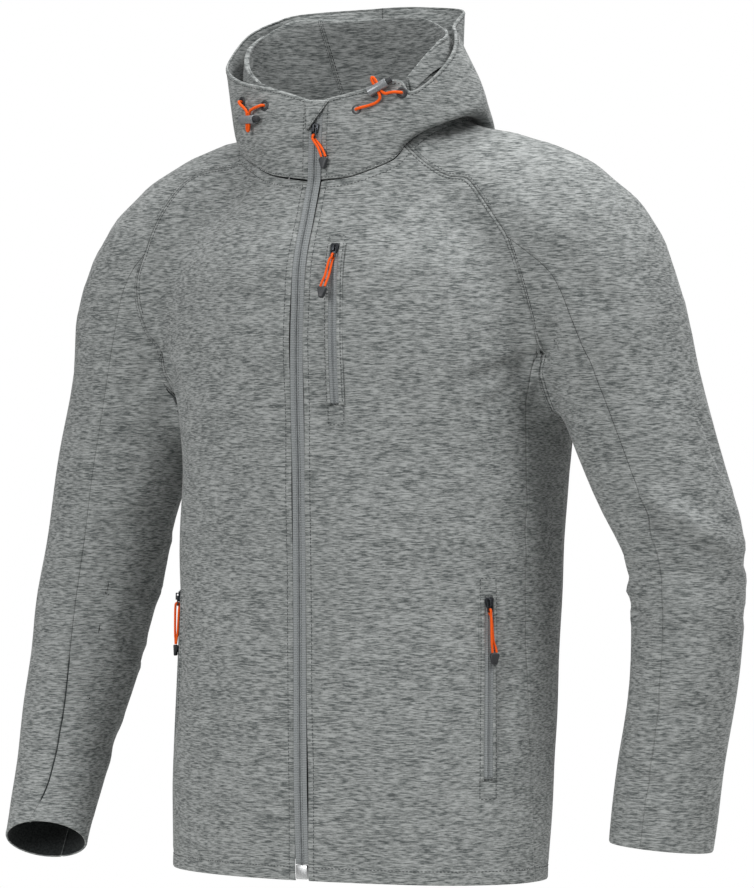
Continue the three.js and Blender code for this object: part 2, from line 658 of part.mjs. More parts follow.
// The centre zip: two tapes between the fronts, from the bottom box up to the hood's rim.
const TAPE_THICKNESS = 1.2;
const TAPE_SET_BACK = 0.5;
const ZIP_FOOT = HEM_HEIGHT + 15.5;
const ZIP_TOP = 38;
const ZIP_ROWS = 26;
const COLLAR_EDGE = [[-88.5, -33.5], [-88, -14], [-86, 14], [-82, 43]];
function zipFront(z) {
  if (z < COLLAR_EDGE[0][1]) return onFront(0, z)[1];
  let i = 0;
  while (i < COLLAR_EDGE.length - 2 && z > COLLAR_EDGE[i + 1][1]) i++;
  const [[y, low], [nextY, high]] = [COLLAR_EDGE[i], COLLAR_EDGE[i + 1]];
  return y + ((nextY - y) * (z - low)) / (high - low);
}
function zipTape(side) {
  const sign = side === 'left' ? 1 : -1;
  const grid = [];
  for (let i = 0; i <= ZIP_ROWS; i++) {
    const z = ZIP_FOOT + ((ZIP_TOP - ZIP_FOOT) * i) / ZIP_ROWS;
    grid.push([-1, 1].map((edge) => [(ZIP_HALF / 2) * (sign + edge), zipFront(z) + TAPE_SET_BACK, z]));
  }
  return gridPiece(`zip_tape_${side}`, grid, TAPE, TAPE_THICKNESS);
}
zipTape('left');
zipTape('right');
const BOX = { half: 6.2, low: HEM_HEIGHT + 1.5, high: HEM_HEIGHT + 15, front: -1.2, back: 2.2 };
const boxFrame = frameAt([0, zipFront(BOX.low), 0], [0, 0, 1], [0, -1, 0]);
const boxOutline = rounded(-BOX.half, BOX.low, BOX.half, BOX.high, 1.2, 2);
set('zip_bottom_box', plate(boxOutline, -BOX.back, -BOX.front), METAL, boxFrame);

// The chin guard: a flap of cloth from the wearer's right edge over the top of the zip.
const GUARD = { bottomLeft: [-10.5, 15], bottomRight: [-6, 14.5], topLeft: [-14, 43], topRight: [15, 42.5] };
const GUARD_THICKNESS = 1.4;
const GUARD_OFF = { seam: 1.9, edge: 4.2 }; // how far its outer face stands before the zip
const GUARD_ROWS = 6;
const GUARD_COLUMNS = 4;
const guardGrid = [];
for (let i = 0; i <= GUARD_ROWS; i++) {
  const rise = i / GUARD_ROWS;
  const left = mix(GUARD.bottomLeft, GUARD.topLeft, rise);
  const right = mix(GUARD.bottomRight, GUARD.topRight, rise);
  guardGrid.push([]);
  for (let j = 0; j <= GUARD_COLUMNS; j++) {
    const across = j / GUARD_COLUMNS;
    const [x, z] = mix(left, right, across);
    const lifted = Math.min(2 * across, 1) * Math.min(1.4 - rise, 1);
    const off = GUARD_OFF.seam + (GUARD_OFF.edge - GUARD_OFF.seam) * lifted;
    guardGrid[i].push([x, zipFront(z) - off, z]);
  }
}
gridPiece('chin_guard', guardGrid, HEATHER, GUARD_THICKNESS);

// Pocket zips: a strip of tape on the panel, from its upper to its lower end, each as x and z,
// and how far its outer face stands before the panel.
const POCKET_ZIPS = {
  chest: { upper: [37, -96], lower: [41, -244], rows: 8, lift: 1.4 },
  hand_left: { upper: [169, -425], lower: [172, -593], rows: 9, lift: 0.8 },
  hand_right: { upper: [-169, -425], lower: [-172, -593], rows: 9, lift: 0.8 },
};
const STRIP_HALF = 5.5;
const STRIP_THICKNESS = 1;
function stripPoint(zip, share, sideways) {
  const [x, z] = mix(zip.upper, zip.lower, share);
  const middle = onFront(x, z);
  const out = facing(middle);
  const place = settle(add(middle, unit(cross([0, 0, 1], out)), sideways));
  return add(place, facing(place), zip.lift);
}
for (const [name, zip] of Object.entries(POCKET_ZIPS)) {
  const grid = [];
  for (let i = zip.rows; i >= 0; i--) {
    grid.push([-STRIP_HALF, 0, STRIP_HALF].map((sideways) => stripPoint(zip, i / zip.rows, sideways)));
  }
  gridPiece(`${name}_zip`, grid, TAPE, STRIP_THICKNESS);
}

// Sliders, in a frame across, up and out of the tape: a plate, and a bridge that holds the pull tab.
const SLIDER = { top: 5.4, bottom: -4.6, upperHalf: 4.4, lowerHalf: 3.2, lift: 0.3, thickness: 1.8 };
const BRIDGE = { half: 1, top: 4, bottom: -2.8, height: 5, bar: 1.15, foot: 1 };
function sliderSolid() {
  const { top, bottom, upperHalf, lowerHalf, lift, thickness } = SLIDER;
  const outline = [[upperHalf, top - 1.5], [upperHalf - 1.5, top], [1.5 - upperHalf, top],
    [-upperHalf, top - 1.5], [-lowerHalf, bottom + 1], [1 - lowerHalf, bottom], [lowerHalf - 1, bottom], [lowerHalf, bottom + 1]];
  const body = toSolid(plate(outline, lift, lift + thickness));
  const low = lift + thickness - 0.2;
  const arch = toSolid(box([-BRIDGE.half, BRIDGE.bottom, low], [BRIDGE.half, BRIDGE.top, BRIDGE.height]));
  const [windowLow, windowHigh] = [BRIDGE.bottom + BRIDGE.foot, BRIDGE.top - BRIDGE.foot];
  const window = toSolid(box([-2, windowLow, 0], [2, windowHigh, BRIDGE.height - BRIDGE.bar]));
  return toGeometry(body.add(arch.subtract(window.subtract(body))));
}
// The pull tab is a flat ring. It turns on its upper bar, which passes under the bridge.
const TAB = {
  half: 2.9,
  ring: 1.1,
  pinHeight: 2.95,
  top: 1.2,
  bottom: -8.7,
  innerTop: 0.1,
  innerBottom: -7.6,
};
function tabSolid() {
  const outer = rounded(-TAB.half, TAB.bottom, TAB.half, TAB.top, 0.5, 1);
  const innerHalf = TAB.half - TAB.ring;
  const inner = rounded(-innerHalf, TAB.innerBottom, innerHalf, TAB.innerTop, 0.3, 1).reverse();
  return plate(outer, TAB.pinHeight - TAB.ring / 2, TAB.pinHeight + TAB.ring / 2, [inner]);
}
const PULL_CORD_RADIUS = 0.9;
const GRIP = { width: 9, height: 10.5, thickness: 4.4, middle: 3.6, corner: 2.2, gap: 0.6 };
// A loop of cord from the grip through the ring and back; the grip hangs drop below the slider and lean
// beside it.
function pullRoute(drop, lean) {
  return [
    [lean - 2.5, -drop, 3.6],
    [0.8 * lean - 2.4, 5 - drop, 4],
    [0.55 * lean - 1.9, 10 - drop, 4.5],
    [0.2 * lean - 0.7, -12, 5],
    [0, -9.4, 5],
    [0, -7.7, 4.95],
    [0, -6.3, 4.3],
    [0, -5.8, 2.95],
    [0, -6.3, 1.6],
    [0, -7.7, 1.25],
    [0, -9.4, 1.25],
    [0.2 * lean + 0.7, -12, 1.5],
    [0.55 * lean + 1.9, 10 - drop, 2.4],
    [0.8 * lean + 2.4, 5 - drop, 3],
    [lean + 2.5, -drop, 3.6],
  ];
}
const PULL_STEPS = 26;
function zipPull(name, frame, drop, lean) {
  set(`${name}_slider`, sliderSolid(), METAL, frame);
  set(`${name}_tab`, tabSolid(), METAL, frame);
  const route = pullRoute(drop, lean).map((p) => inFrame(frame, p));
  cord(`${name}_pull_cord`, route, PULL_CORD_RADIUS, PULL_STEPS);
  const top = -drop - GRIP.gap;
  const [left, right] = [lean - GRIP.width / 2, lean + GRIP.width / 2];
  const outline = rounded(left, top - GRIP.height, right, top, GRIP.corner, 3);
  const [back, front] = [GRIP.middle - GRIP.thickness / 2, GRIP.middle + GRIP.thickness / 2];
  set(`${name}_pull_end`, plate(outline, back, front), PLASTIC, frame);
}
const MAIN_SLIDER_HEIGHT = 15;
const MAIN_PULL_FOOT = -20;
const mainFallForward = zipFront(MAIN_SLIDER_HEIGHT) - zipFront(MAIN_PULL_FOOT);
const mainFall = [0, mainFallForward, MAIN_SLIDER_HEIGHT - MAIN_PULL_FOOT];
const mainPlace = [0, zipFront(MAIN_SLIDER_HEIGHT) + TAPE_SET_BACK, MAIN_SLIDER_HEIGHT];
const mainFrame = frameAt(mainPlace, mainFall, cross(mainFall, [-1, 0, 0]));
function stripFrame(zip, share) {
  const place = stripPoint(zip, share, 0);
  return frameAt(place, sub(stripPoint(zip, 0, 0), stripPoint(zip, 0.2, 0)), facing(place));
}
const SLIDER_SHARE = 0.03;
zipPull('main', mainFrame, 27, 12);
zipPull('chest', stripFrame(POCKET_ZIPS.chest, SLIDER_SHARE), 38, -6);
zipPull('hand_left', stripFrame(POCKET_ZIPS.hand_left, SLIDER_SHARE), 46, 4);
zipPull('hand_right', stripFrame(POCKET_ZIPS.hand_right, SLIDER_SHARE), 46, -4);

// Eyelets on the hood, each at a place and a rise of its wall.
const EYELETS = {
  left_front: [1.05, 2.4],
  left_back: [2.3, 2.6],
  right_front: [15.8, 2.45],
  right_back: [15.05, 2.4],
};
const EYELET_LIFT = 0.5;
const EYELET_PROFILE = [[1.9, 0], [4.4, 0], [4.2, 0.7], [3.4, 1.1], [2.5, 1.1], [1.9, 0.6]];
function hoodFrame([place, rise]) {
  const middle = hoodPoint(place, rise);
  const up = sub(hoodPoint(place, rise + 0.1), hoodPoint(place, rise - 0.1));
  const along = sub(hoodPoint(place + 0.1, rise), hoodPoint(place - 0.1, rise));
  return frameAt(middle, up, cross(along, up));
}
for (const [name, where] of Object.entries(EYELETS)) {
  const frame = hoodFrame(where);
  const closed = [...EYELET_PROFILE, EYELET_PROFILE[0]];
  const profile = closed.map(([r, h]) => new THREE.Vector2(r, h + EYELET_LIFT));
  const ring = new THREE.LatheGeometry(profile, 16).rotateX(Math.PI / 2);
  set(`eyelet_${name}`, ring, PLASTIC, frame);
}

// Drawcord stoppers: a barrel along its own x, the cord through it along y, out of the hood along z.
const BARREL = { radius: 4.4, bore: 3, closedEnd: -12, openEnd: 8, boreEnd: -9.5, sides: 20 };
const PLUNGER = { radius: 2.7, end: -6.6, button: 13.4, travel: 2.5, sides: 16 };
const CORD_WINDOW = { from: -5.2, to: 1.5, half: 1.75 };
const DRAWCORD_RADIUS = 1.4;
function rod(radius, from, to, sides) {
  const cylinder = new THREE.CylinderGeometry(radius, radius, to - from, sides, 1);
  return toSolid(cylinder.rotateZ(-Math.PI / 2).translate((from + to) / 2, 0, 0));
}
function stopper(side, frame) {
  const { from, to, half } = CORD_WINDOW;
  const window = toSolid(box([from, -8, -half], [to, 8, half]));
  const bore = rod(BARREL.bore, BARREL.boreEnd, BARREL.openEnd + 1, BARREL.sides);
  const barrel = rod(BARREL.radius, BARREL.closedEnd, BARREL.openEnd, BARREL.sides);
  set(`cord_stopper_${side}`, toGeometry(barrel.subtract(bore).subtract(window)), PLASTIC, frame);
  const slot = toSolid(box([from, -8, -half], [to + PLUNGER.travel, 8, half]));
  const plunger = rod(PLUNGER.radius, PLUNGER.end, PLUNGER.button, PLUNGER.sides).subtract(slot);
  set(`cord_stopper_button_${side}`, toGeometry(plunger), PLASTIC, frame);
}
// Each drawcord's route in its stopper's frame, from one eyelet to the other.
const DRAWCORDS = {
  left: {
    place: [66.8, -80.9, 53],
    along: [0.82, 0.3, 0.49],
    out: [0.344, -0.939, 0],
    route: [[-29.8, -7.4, -4.8], [-29.8, -7.2, -1.7], [-24.5, -8.6, -0.2], [-17, -10.6, -0.4],
      [-10, -11.6, -0.4], [-5.4, -10.4, 0], [-3.5, -7, 0], [-3.4, 0, 0],
      [-3.4, 6, 0], [-3.2, 9, 0], [-1.8, 10.8, 0], [-0.5, 9, 0], [-0.3, 6, 0], [-0.3, 0, 0],
      [-0.2, -5, 0], [1.8, -8.6, 0], [6, -10, -0.4], [10.5, -12, -0.6], [15, -15.1, -1.2],
      [15.1, -15.2, -4.6]],
  },
  right: {
    place: [-75.2, -82.5, 26.9],
    along: [0.95, -0.32, 0],
    out: [-0.32, -0.95, 0],
    route: [[-16.9, 18.1, -4.9], [-17, 18, -1.5], [-13.8, 15.6, -0.2], [-9, 12.4, 0], [-5.2, 9.4, 0],
      [-3.6, 6.4, 0],
      [-3.4, 0, 0], [-3.4, -6, 0], [-3.2, -9, 0], [-1.8, -10.8, 0], [-0.5, -9, 0], [-0.3, -6, 0], [-0.3, 0, 0],
      [-0.2, 5, 0], [1.6, 8.4, 0], [5.4, 10.2, -0.4], [9.6, 11.6, -1.2], [14.6, 12.9, -2.8],
      [14.7, 12.9, -6.3]],
  },
};
const DRAWCORD_STEPS = 32;
for (const [side, { place, along, out, route }] of Object.entries(DRAWCORDS)) {
  const outward = unit(out);
  const across = unit(add(along, outward, -dot(along, outward)));
  const frame = { place, across, up: cross(outward, across), out: outward };
  stopper(side, frame);
  cord(`drawcord_${side}`, route.map((p) => inFrame(frame, p)), DRAWCORD_RADIUS, DRAWCORD_STEPS);
}
export default jacket;
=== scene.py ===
# Men's hooded softshell jacket, filled out as worn, hood down, zip closed.
# Sizes are in millimetres until a piece is made, which is in metres.
import math
import bmesh
import bpy
import numpy as np
from mathutils import Matrix, Vector


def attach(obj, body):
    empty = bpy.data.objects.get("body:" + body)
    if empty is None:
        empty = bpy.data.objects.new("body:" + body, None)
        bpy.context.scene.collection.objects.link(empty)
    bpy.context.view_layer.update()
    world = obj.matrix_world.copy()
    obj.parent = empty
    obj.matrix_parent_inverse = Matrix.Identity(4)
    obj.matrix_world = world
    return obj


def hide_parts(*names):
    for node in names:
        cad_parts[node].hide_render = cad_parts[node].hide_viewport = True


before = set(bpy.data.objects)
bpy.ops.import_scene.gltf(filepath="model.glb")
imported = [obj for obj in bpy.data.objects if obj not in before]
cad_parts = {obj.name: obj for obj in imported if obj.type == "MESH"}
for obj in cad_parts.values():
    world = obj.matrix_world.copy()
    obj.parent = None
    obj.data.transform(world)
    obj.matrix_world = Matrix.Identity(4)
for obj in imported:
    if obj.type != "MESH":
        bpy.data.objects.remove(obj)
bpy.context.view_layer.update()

MM = 0.001
CLOTH = 1.6
HEM_HEIGHT = -692
ZIP_HALF = 7
SEAM_GAP = 0.12

# The cut: the same lines and tables as the solids.

TORSO = np.array([
    [-760, 198, -108, -6, 90], [-692, 196, -110, -5, 92], [-600, 195, -114, 3, 114],
    [-450, 191, -115, 15, 143], [-310, 194, -117, 28, 165], [-240, 200, -120, 28, 167],
    [-190, 209, -121, 24, 162], [-150, 206, -119, 18, 154], [-110, 184, -115, 14, 140],
    [-60, 136, -98, 12, 112], [-20, 113, -85, 10, 80], [20, 104, -76, 6, 62], [60, 100, -72, 4, 56]], float)
TORSO_SQUARENESS = 2.3
LEFT_ARM = [
    [60, 20, -44, 64, 60], [122, 22, -62, 82, 74], [212, 14, -100, 84, 74], [250, 18, -158, 79, 69],
    [273, 26, -225, 71, 63], [287, 28, -268, 67, 61], [304, 30, -315, 62, 58], [325, 35, -370, 57, 55],
    [329, 38, -415, 55, 54], [327, 40, -460, 53, 52], [321, 40, -524, 50, 50], [311, 38, -591, 49, 48],
    [304, 36, -658, 48, 47], [299, 34, -722, 47, 46]]
RIGHT_ARM = [
    [-60, 20, -44, 64, 60], [-124, 22, -63, 82, 74], [-206, 14, -104, 84, 74], [-245, 18, -158, 79, 69],
    [-265, 26, -224, 74, 63], [-290, 30, -300, 68, 60], [-305, 32, -348, 64, 59], [-317, 32, -399, 62, 58],
    [-324, 28, -440, 60, 56], [-326, 14, -496, 55, 52], [-328, -10, -562, 49, 47], [-324, -45, -632, 45, 40],
    [-318, -70, -670, 43, 35], [-310, -106, -724, 42, 33]]
AXIS_STEPS = 36
JOIN_SOFTNESS = 26
SLOPE_REACH = 0.5  # how far to each side a slope is measured
SETTLE_STEPS = 40
SETTLED = 0.01  # a point this near the cloth's face is on it
SETTLE_LEAP = 8
FRONT_HALVINGS = 24
OUTER_HALVINGS = 26
BEYOND = 330  # further out than any of the cloth


def unit(v):
    return v / np.maximum(np.linalg.norm(v, axis=-1, keepdims=True), 1e-9)


def dots(a, b):
    return (a * b).sum(-1)


def cubic(a, b, c, d, t):
    rise = c - b
    start, end = (c - a) / 2, (d - b) / 2
    return b + t * (start + t * (3 * rise - 2 * start - end + t * (start + end - 2 * rise)))


def reach_along(points):
    """How far along a line each of its points lies."""
    return np.concatenate([[0], np.linalg.norm(np.diff(points, axis=0), axis=1).cumsum()])


def at_marks(marks, reach, rows):
    """The rows that go with the points of a line, at marks along it."""
    return np.stack([np.interp(marks, reach, rows[:, k]) for k in range(rows.shape[1])], 1)


def between_knots(knots, rise):
    """Places on smooth curves through knots, a curve to each row; rise counts the knots."""
    last = knots.shape[1] - 1
    i = np.clip(np.floor(rise).astype(int), 0, last - 1)
    n = np.arange(len(knots))
    around = (knots[n, np.clip(i + step, 0, last)] for step in (-1, 0, 1, 2))
    return cubic(*around, np.clip(rise - i, 0, 1)[:, None])


def smooth_row(rows, place):
    """Smooth rows between the rows of a table, at places counted in rows."""
    rows = np.asarray(rows, float)
    place = np.atleast_1d(np.asarray(place, float))
    last = len(rows) - 1
    i = np.clip(np.floor(place).astype(int), 0, last - 1)
    t = np.clip(place - i, 0, 1)[:, None]
    return cubic(*(rows[np.clip(i + step, 0, last)] for step in (-1, 0, 1, 2)), t)


def arm_axis(rows):
    return smooth_row(rows, np.linspace(0, len(rows) - 1, AXIS_STEPS + 1))


ARM_AXES = [arm_axis(LEFT_ARM), arm_axis(RIGHT_ARM)]


def torso_distance(p):
    i = np.searchsorted(TORSO[1:-1, 0], p[:, 2], side="left")
    part = np.clip((p[:, 2] - TORSO[i, 0]) / (TORSO[i + 1, 0] - TORSO[i, 0]), 0, 1)
    _, half, front, side, back = smooth_row(TORSO, i + part).T
    depth = np.where(p[:, 1] < side, side - front, back - side)
    n = TORSO_SQUARENESS
    r = (np.abs(p[:, 0] / half) ** n + np.abs((p[:, 1] - side) / depth) ** n) ** (1 / n)
    return np.hypot(p[:, 0], p[:, 1] - side) * (1 - 1 / np.maximum(r, 0.01))


def arm_distance(p, axis):
    start, run = axis[:-1, :3], np.diff(axis[:, :3], axis=0)
    t = np.clip(((p[:, None] - start) * run).sum(2) / (run ** 2).sum(1), 0, 1)
    away = np.linalg.norm(p[:, None] - start - t[..., None] * run, axis=2)
    k = away.argmin(1)
    share = t[np.arange(len(p)), k][:, None]
    section = axis[k] * (1 - share) + axis[k + 1] * share
    along = unit(run[k])
    depthways = unit(np.array([0.0, 1, 0]) - along * along[:, 1:2])
    across = np.cross(depthways, along)
    d = p - section[:, :3]
    wide, deep = section[:, 3], section[:, 4]
    shares = (dots(d, across) / wide, dots(d, depthways) / deep, dots(d, along) / wide)
    r = np.sqrt(shares[0] ** 2 + shares[1] ** 2 + shares[2] ** 2)
    return np.maximum(np.linalg.norm(d, axis=1), 0.01) * (1 - 1 / np.maximum(r, 0.01))


def field(p):
    arm = np.minimum(arm_distance(p, ARM_AXES[0]), arm_distance(p, ARM_AXES[1]))
    torso = torso_distance(p)
    h = np.clip(0.5 + 0.5 * (arm - torso) / JOIN_SOFTNESS, 0, 1)
    return arm + (torso - arm) * h - JOIN_SOFTNESS * h * (1 - h)


def slope(p):
    steps = np.eye(3) * SLOPE_REACH
    return np.stack([(field(p + step) - field(p - step)) / (2 * SLOPE_REACH) for step in steps], axis=1)


def settle(points):
    """The nearest places of the cloth's outer face."""
    shape = np.shape(points)
    q = np.array(points, float).reshape(-1, 3)
    live = np.arange(len(q))
    for _ in range(SETTLE_STEPS):
        off = field(q[live])
        far = np.abs(off) > SETTLED
        live, off = live[far], off[far]
        if len(live) == 0:
            break
        g = slope(q[live])
        q[live] -= g * np.clip(off / np.maximum(dots(g, g), 0.2), -SETTLE_LEAP, SETTLE_LEAP)[:, None]
    return q.reshape(shape)


def facing(points):
    shape = np.shape(points)
    return unit(slope(np.reshape(points, (-1, 3)))).reshape(shape)


def on_front(x, z):
    """The cloth's outer face straight before places given by x and z."""
    x, z = np.broadcast_arrays(np.atleast_1d(np.asarray(x, float)), np.atleast_1d(np.asarray(z, float)))
    outside, inside = np.full(x.shape, -float(BEYOND)), np.full(x.shape, 30.0)
    for _ in range(FRONT_HALVINGS):
        middle = (outside + inside) / 2
        out = field(np.stack([x, middle, z], 1)) > 0
        outside, inside = np.where(out, middle, outside), np.where(out, inside, middle)
    return np.stack([x, (outside + inside) / 2, z], 1)


HOOD = np.array([
    [7, -88.5, -33.5, 7, -88, -14, 7, -86, 14, 7, -82, 43],
    [40, -84, -30, 40, -85.5, -12, 41, -85, 17, 44, -81, 50],
    [72, -67, -16, 73, -70, -3, 76, -72, 26, 80, -70, 60],
    [82, -55, 0, 90, -61, 9, 93, -63, 28, 92, -64, 49],
    [94, -38, 15, 112, -46, 19, 113, -50, 42, 111, -49, 66],
    [103, -12, 25, 136, -14, 31, 132, -14, 58, 118, -28, 90],
    [103, 16, 31, 122, 32, 28, 118, 24, 60, 106, -4, 114],
    [88, 42, 36, 102, 78, 8, 96, 64, 50, 74, 22, 133],
    [48, 58, 39, 58, 110, -28, 58, 98, 40, 30, 36, 141],
    [0, 62, 41, -4, 122, -38, -4, 112, 38, -12, 40, 142],
    [-48, 58, 39, -66, 110, -28, -64, 98, 40, -58, 36, 141],
    [-92, 44, 34, -106, 78, 8, -104, 64, 50, -98, 22, 133],
    [-113, 18, 26, -126, 32, 26, -128, 24, 58, -124, -2, 117],
    [-118, -8, 12, -127, -10, 24, -131, -16, 54, -132, -28, 91],
    [-108, -38, -6, -116, -40, 10, -120, -45, 42, -121, -51, 77],
    [-82, -60, -16, -86, -63, -4, -90, -70, 30, -92, -71, 65],
    [-50, -81, -27, -51, -82.5, -10, -51, -83, 20, -50, -80, 56],
    [-7, -88.5, -33.5, -7, -88, -14, -7, -86, 14, -7, -82, 43]], float)
NECK_STOPS = [0, 3, 7, 11, 14, 17]
NECK_PIECES = [8, 8, 12, 8, 8]
ARMHOLE = {
    "left": [
        [82, -55, 0], [96, -49, -15], [120, -46, -30], [141, -47, -33], [159, -53, -50], [180, -58, -75],
        [191, -59, -90], [199, -57, -112], [205, -53, -138], [209, -46, -163], [212, -36, -188],
        [210, -8, -210], [208, 28, -220], [208, 62, -212], [210, 88, -190],
        [208, 100, -165], [203, 107, -140], [197, 111, -118], [188, 112, -95],
        [176, 110, -75], [158, 106, -52], [138, 96, -28], [112, 74, 4], [88, 42, 36]],
    "right": [
        [-108, -38, -6], [-125, -38, -14], [-150, -38, -17], [-172, -41, -24], [-190, -50, -48],
        [-202, -58, -75],
        [-210, -60, -97], [-219, -57, -122], [-220, -50, -148], [-214, -42, -172], [-206, -36, -188],
        [-206, -8, -210], [-206, 28, -220], [-206, 62, -212], [-208, 88, -190],
        [-208, 100, -165], [-204, 107, -140], [-199, 111, -118], [-190, 112, -95],
        [-178, 110, -75], [-160, 106, -52], [-140, 96, -28], [-115, 74, 4], [-92, 44, 34]],
}
ARMHOLE_STOPS = [0, 6, 10, 14, 18, 23]
ARMHOLE_PIECES = [5, 3, 4, 3, 5]
SIDE_FRONT = [[200, -27, -215], [193, -21, -245], [189, -17, -290], [188, -16, -370], [188, -16, -450],
              [191, -16, -550], [195, -14, -631]]
SIDE_BACK = [[201, 82, -222], [195, 76, -290], [190, 70, -370], [186, 62, -450], [188, 50, -550],
             [189, 40, -631]]
SIDE_PIECES = 15
HEM_FRONT_ANGLE = -3
HEM_BACK_ANGLE = 14
SLEEVE_PIECES = 18
SLEEVE_SEAMS = {
    "left": {
        "front": [[235, -57, -125], [258, -46, -180], [278, -37, -235], [300, -30, -295], [318, -23, -350],
                  [328, -17, -412], [327, -13, -473], [321, -11, -540], [311, -11, -600]],
        "back": [[225, 98, -125], [253, 90, -180], [276, 88, -245], [300, 88, -310], [322, 90, -370],
                 [328, 92, -412], [327, 92, -473], [320, 90, -540], [310, 86, -600]]},
    "right": {
        "front": [[-233, -57, -126], [-252, -46, -180], [-270, -36, -235], [-287, -30, -300],
                  [-300, -26, -367],
                  [-311, -28, -430], [-312, -36, -490], [-310, -52, -549], [-309, -78, -612]],
        "back": [[-225, 98, -125], [-250, 90, -180], [-270, 88, -245], [-290, 90, -310], [-308, 91, -370],
                 [-322, 84, -430], [-330, 66, -490], [-334, 38, -550], [-332, 2, -612]]},
}
SLEEVE_GUIDES = {
    "left": {
        "outer": [[150, 20, 6], [205, 18, -16], [250, 18, -38], [286, 20, -74], [316, 24, -130],
                  [344, 27, -222],
                  [366, 30, -310], [382, 36, -385], [382, 40, -450], [371, 40, -530], [359, 38, -600]],
        "inner": [[212, 30, -262], [236, 30, -310], [264, 34, -365], [274, 38, -415], [274, 40, -460],
                  [271, 40, -524], [262, 38, -591]]},
    "right": {
        "outer": [[-150, 20, 5], [-202, 18, -18], [-246, 18, -42], [-282, 20, -78], [-311, 24, -134],
                  [-339, 27, -222], [-359, 30, -300], [-376, 33, -385], [-384, 28, -440], [-382, 12, -505],
                  [-377, -12, -570], [-369, -46, -634]],
        "inner": [[-212, 30, -262], [-224, 30, -300], [-241, 32, -348], [-255, 32, -399], [-264, 28, -440],
                  [-271, 14, -496], [-279, -10, -562], [-279, -44, -628]]},
}
CUFF_HEIGHT = {"left": -658, "right": -670}
FOLD = np.array([
    [84, -60, 58, 88, -57, 48], [98, -38, 88, 103, -37, 70], [99, -10, 104, 110, -6, 80],
    [76, 8, 118, 92, 26, 88], [48, 18, 126, 60, 48, 84], [12, 24, 127, 18, 58, 80],
    [-28, 26, 126, -28, 60, 78], [-58, 22, 127, -66, 54, 82], [-84, 12, 126, -98, 38, 86],
    [-103, -3, 114, -116, 16, 84], [-110, -24, 98, -118, -18, 74], [-104, -38, 80, -110, -38, 66],
    [-80, -60, 62, -84, -60, 54], [-43, -74, 48, -46, -74, 40]], float)
FOLD_START = 3
FOLD_END = 16
FOLD_PIECES = 26
FOLD_SEAM_PIECE = 12
FOLD_FOOT_IN = 4.2
HOOD_SEAM = 9
HOOD_CLEARANCE = 5

# Colours and finishes.


def tone(code):
    """An sRGB hex colour as the linear values that a shader takes."""
    parts = [int(code[k:k + 2], 16) / 255 for k in (1, 3, 5)]
    return (*(c / 12.92 if c <= 0.04045 else ((c + 0.055) / 1.055) ** 2.4 for c in parts), 1.0)


def add_node(tree, kind, settings=None, **inputs):
    """A node with its settings; each input is a value, or the socket that feeds it."""
    node = tree.nodes.new(kind)
    for key, value in (settings or {}).items():
        setattr(node, key, value)
    for key, value in inputs.items():
        socket = node.inputs[int(key[1:]) if key[1:].isdigit() else key.replace("_", " ")]
        if isinstance(value, bpy.types.NodeSocket):
            tree.links.new(value, socket)
        else:
            socket.default_value = value
    return node


def new_finish(name):
    finish = bpy.data.materials.new(name)
    finish.use_nodes = True
    tree = finish.node_tree
    return finish, tree, tree.nodes["Principled BSDF"]


def set_shader(shader, **values):
    for key, value in values.items():
        shader.inputs[key.replace("_", " ")].default_value = value


def cover(tree, shader, colour, height, strength, depth):
    """Feeds a shader its colour and its fine bumps, whose depth is in metres."""
    tree.links.new(colour, shader.inputs["Base Color"])
    bump = add_node(tree, "ShaderNodeBump", Height=height, Strength=strength, Distance=depth)
    tree.links.new(bump.outputs[0], shader.inputs["Normal"])


def ramp(tree, source, stops):
    node = add_node(tree, "ShaderNodeValToRGB", i0=source)
    points = node.color_ramp.elements
    while len(points) < len(stops):
        points.new(0.5)
    for point, (place, code) in zip(points, stops):
        point.position = place
        point.color = tone(code)
    return node.outputs["Color"]


def heather_knit():
    # Melange polyester jersey, the knitted face of softshell: pale and dark fibres spun together and
    # knitted across, so the eye sees short crosswise flecks of two greys with slow cloudy shifts.
    finish, tree, shader = new_finish("heather_softshell_jersey")
    around = add_node(tree, "ShaderNodeTexCoord").outputs["Object"]

    def flecks(wide, high, detail, offset):
        place = add_node(tree, "ShaderNodeMapping", Vector=around, Location=(offset, offset, offset),
                         Scale=(1 / (wide * MM), 1 / (wide * 0.75 * MM), 1 / (high * MM)))
        return add_node(tree, "ShaderNodeTexNoise", Vector=place.outputs[0], Scale=1.0, Detail=detail,
                        Roughness=0.55, Distortion=0.2).outputs[0]

    def joined(operation, a, b):
        return add_node(tree, "ShaderNodeMath", {"operation": operation}, i0=a, i1=b).outputs[0]

    fine = flecks(8.5, 1.15, 2.0, 3.1)
    clouds = flecks(32, 9, 1.0, 7.7)
    loops = flecks(1.8, 0.9, 1.0, 1.3)
    shade = joined("ADD", joined("MULTIPLY", fine, 0.84), joined("MULTIPLY", clouds, 0.16))
    shade = joined("ADD", joined("MULTIPLY", shade, 0.86), joined("MULTIPLY", loops, 0.14))
    colour = ramp(tree, shade, [(0.37, "#515555"), (0.45, "#727675"), (0.52, "#8a8d8c"), (0.62, "#a3a6a5")])
    cover(tree, shader, colour, joined("ADD", loops, fine), 0.35, 0.0004)
    set_shader(shader, Roughness=0.93, Sheen_Weight=0.18, Sheen_Roughness=0.45, Specular_IOR_Level=0.2)
    return finish


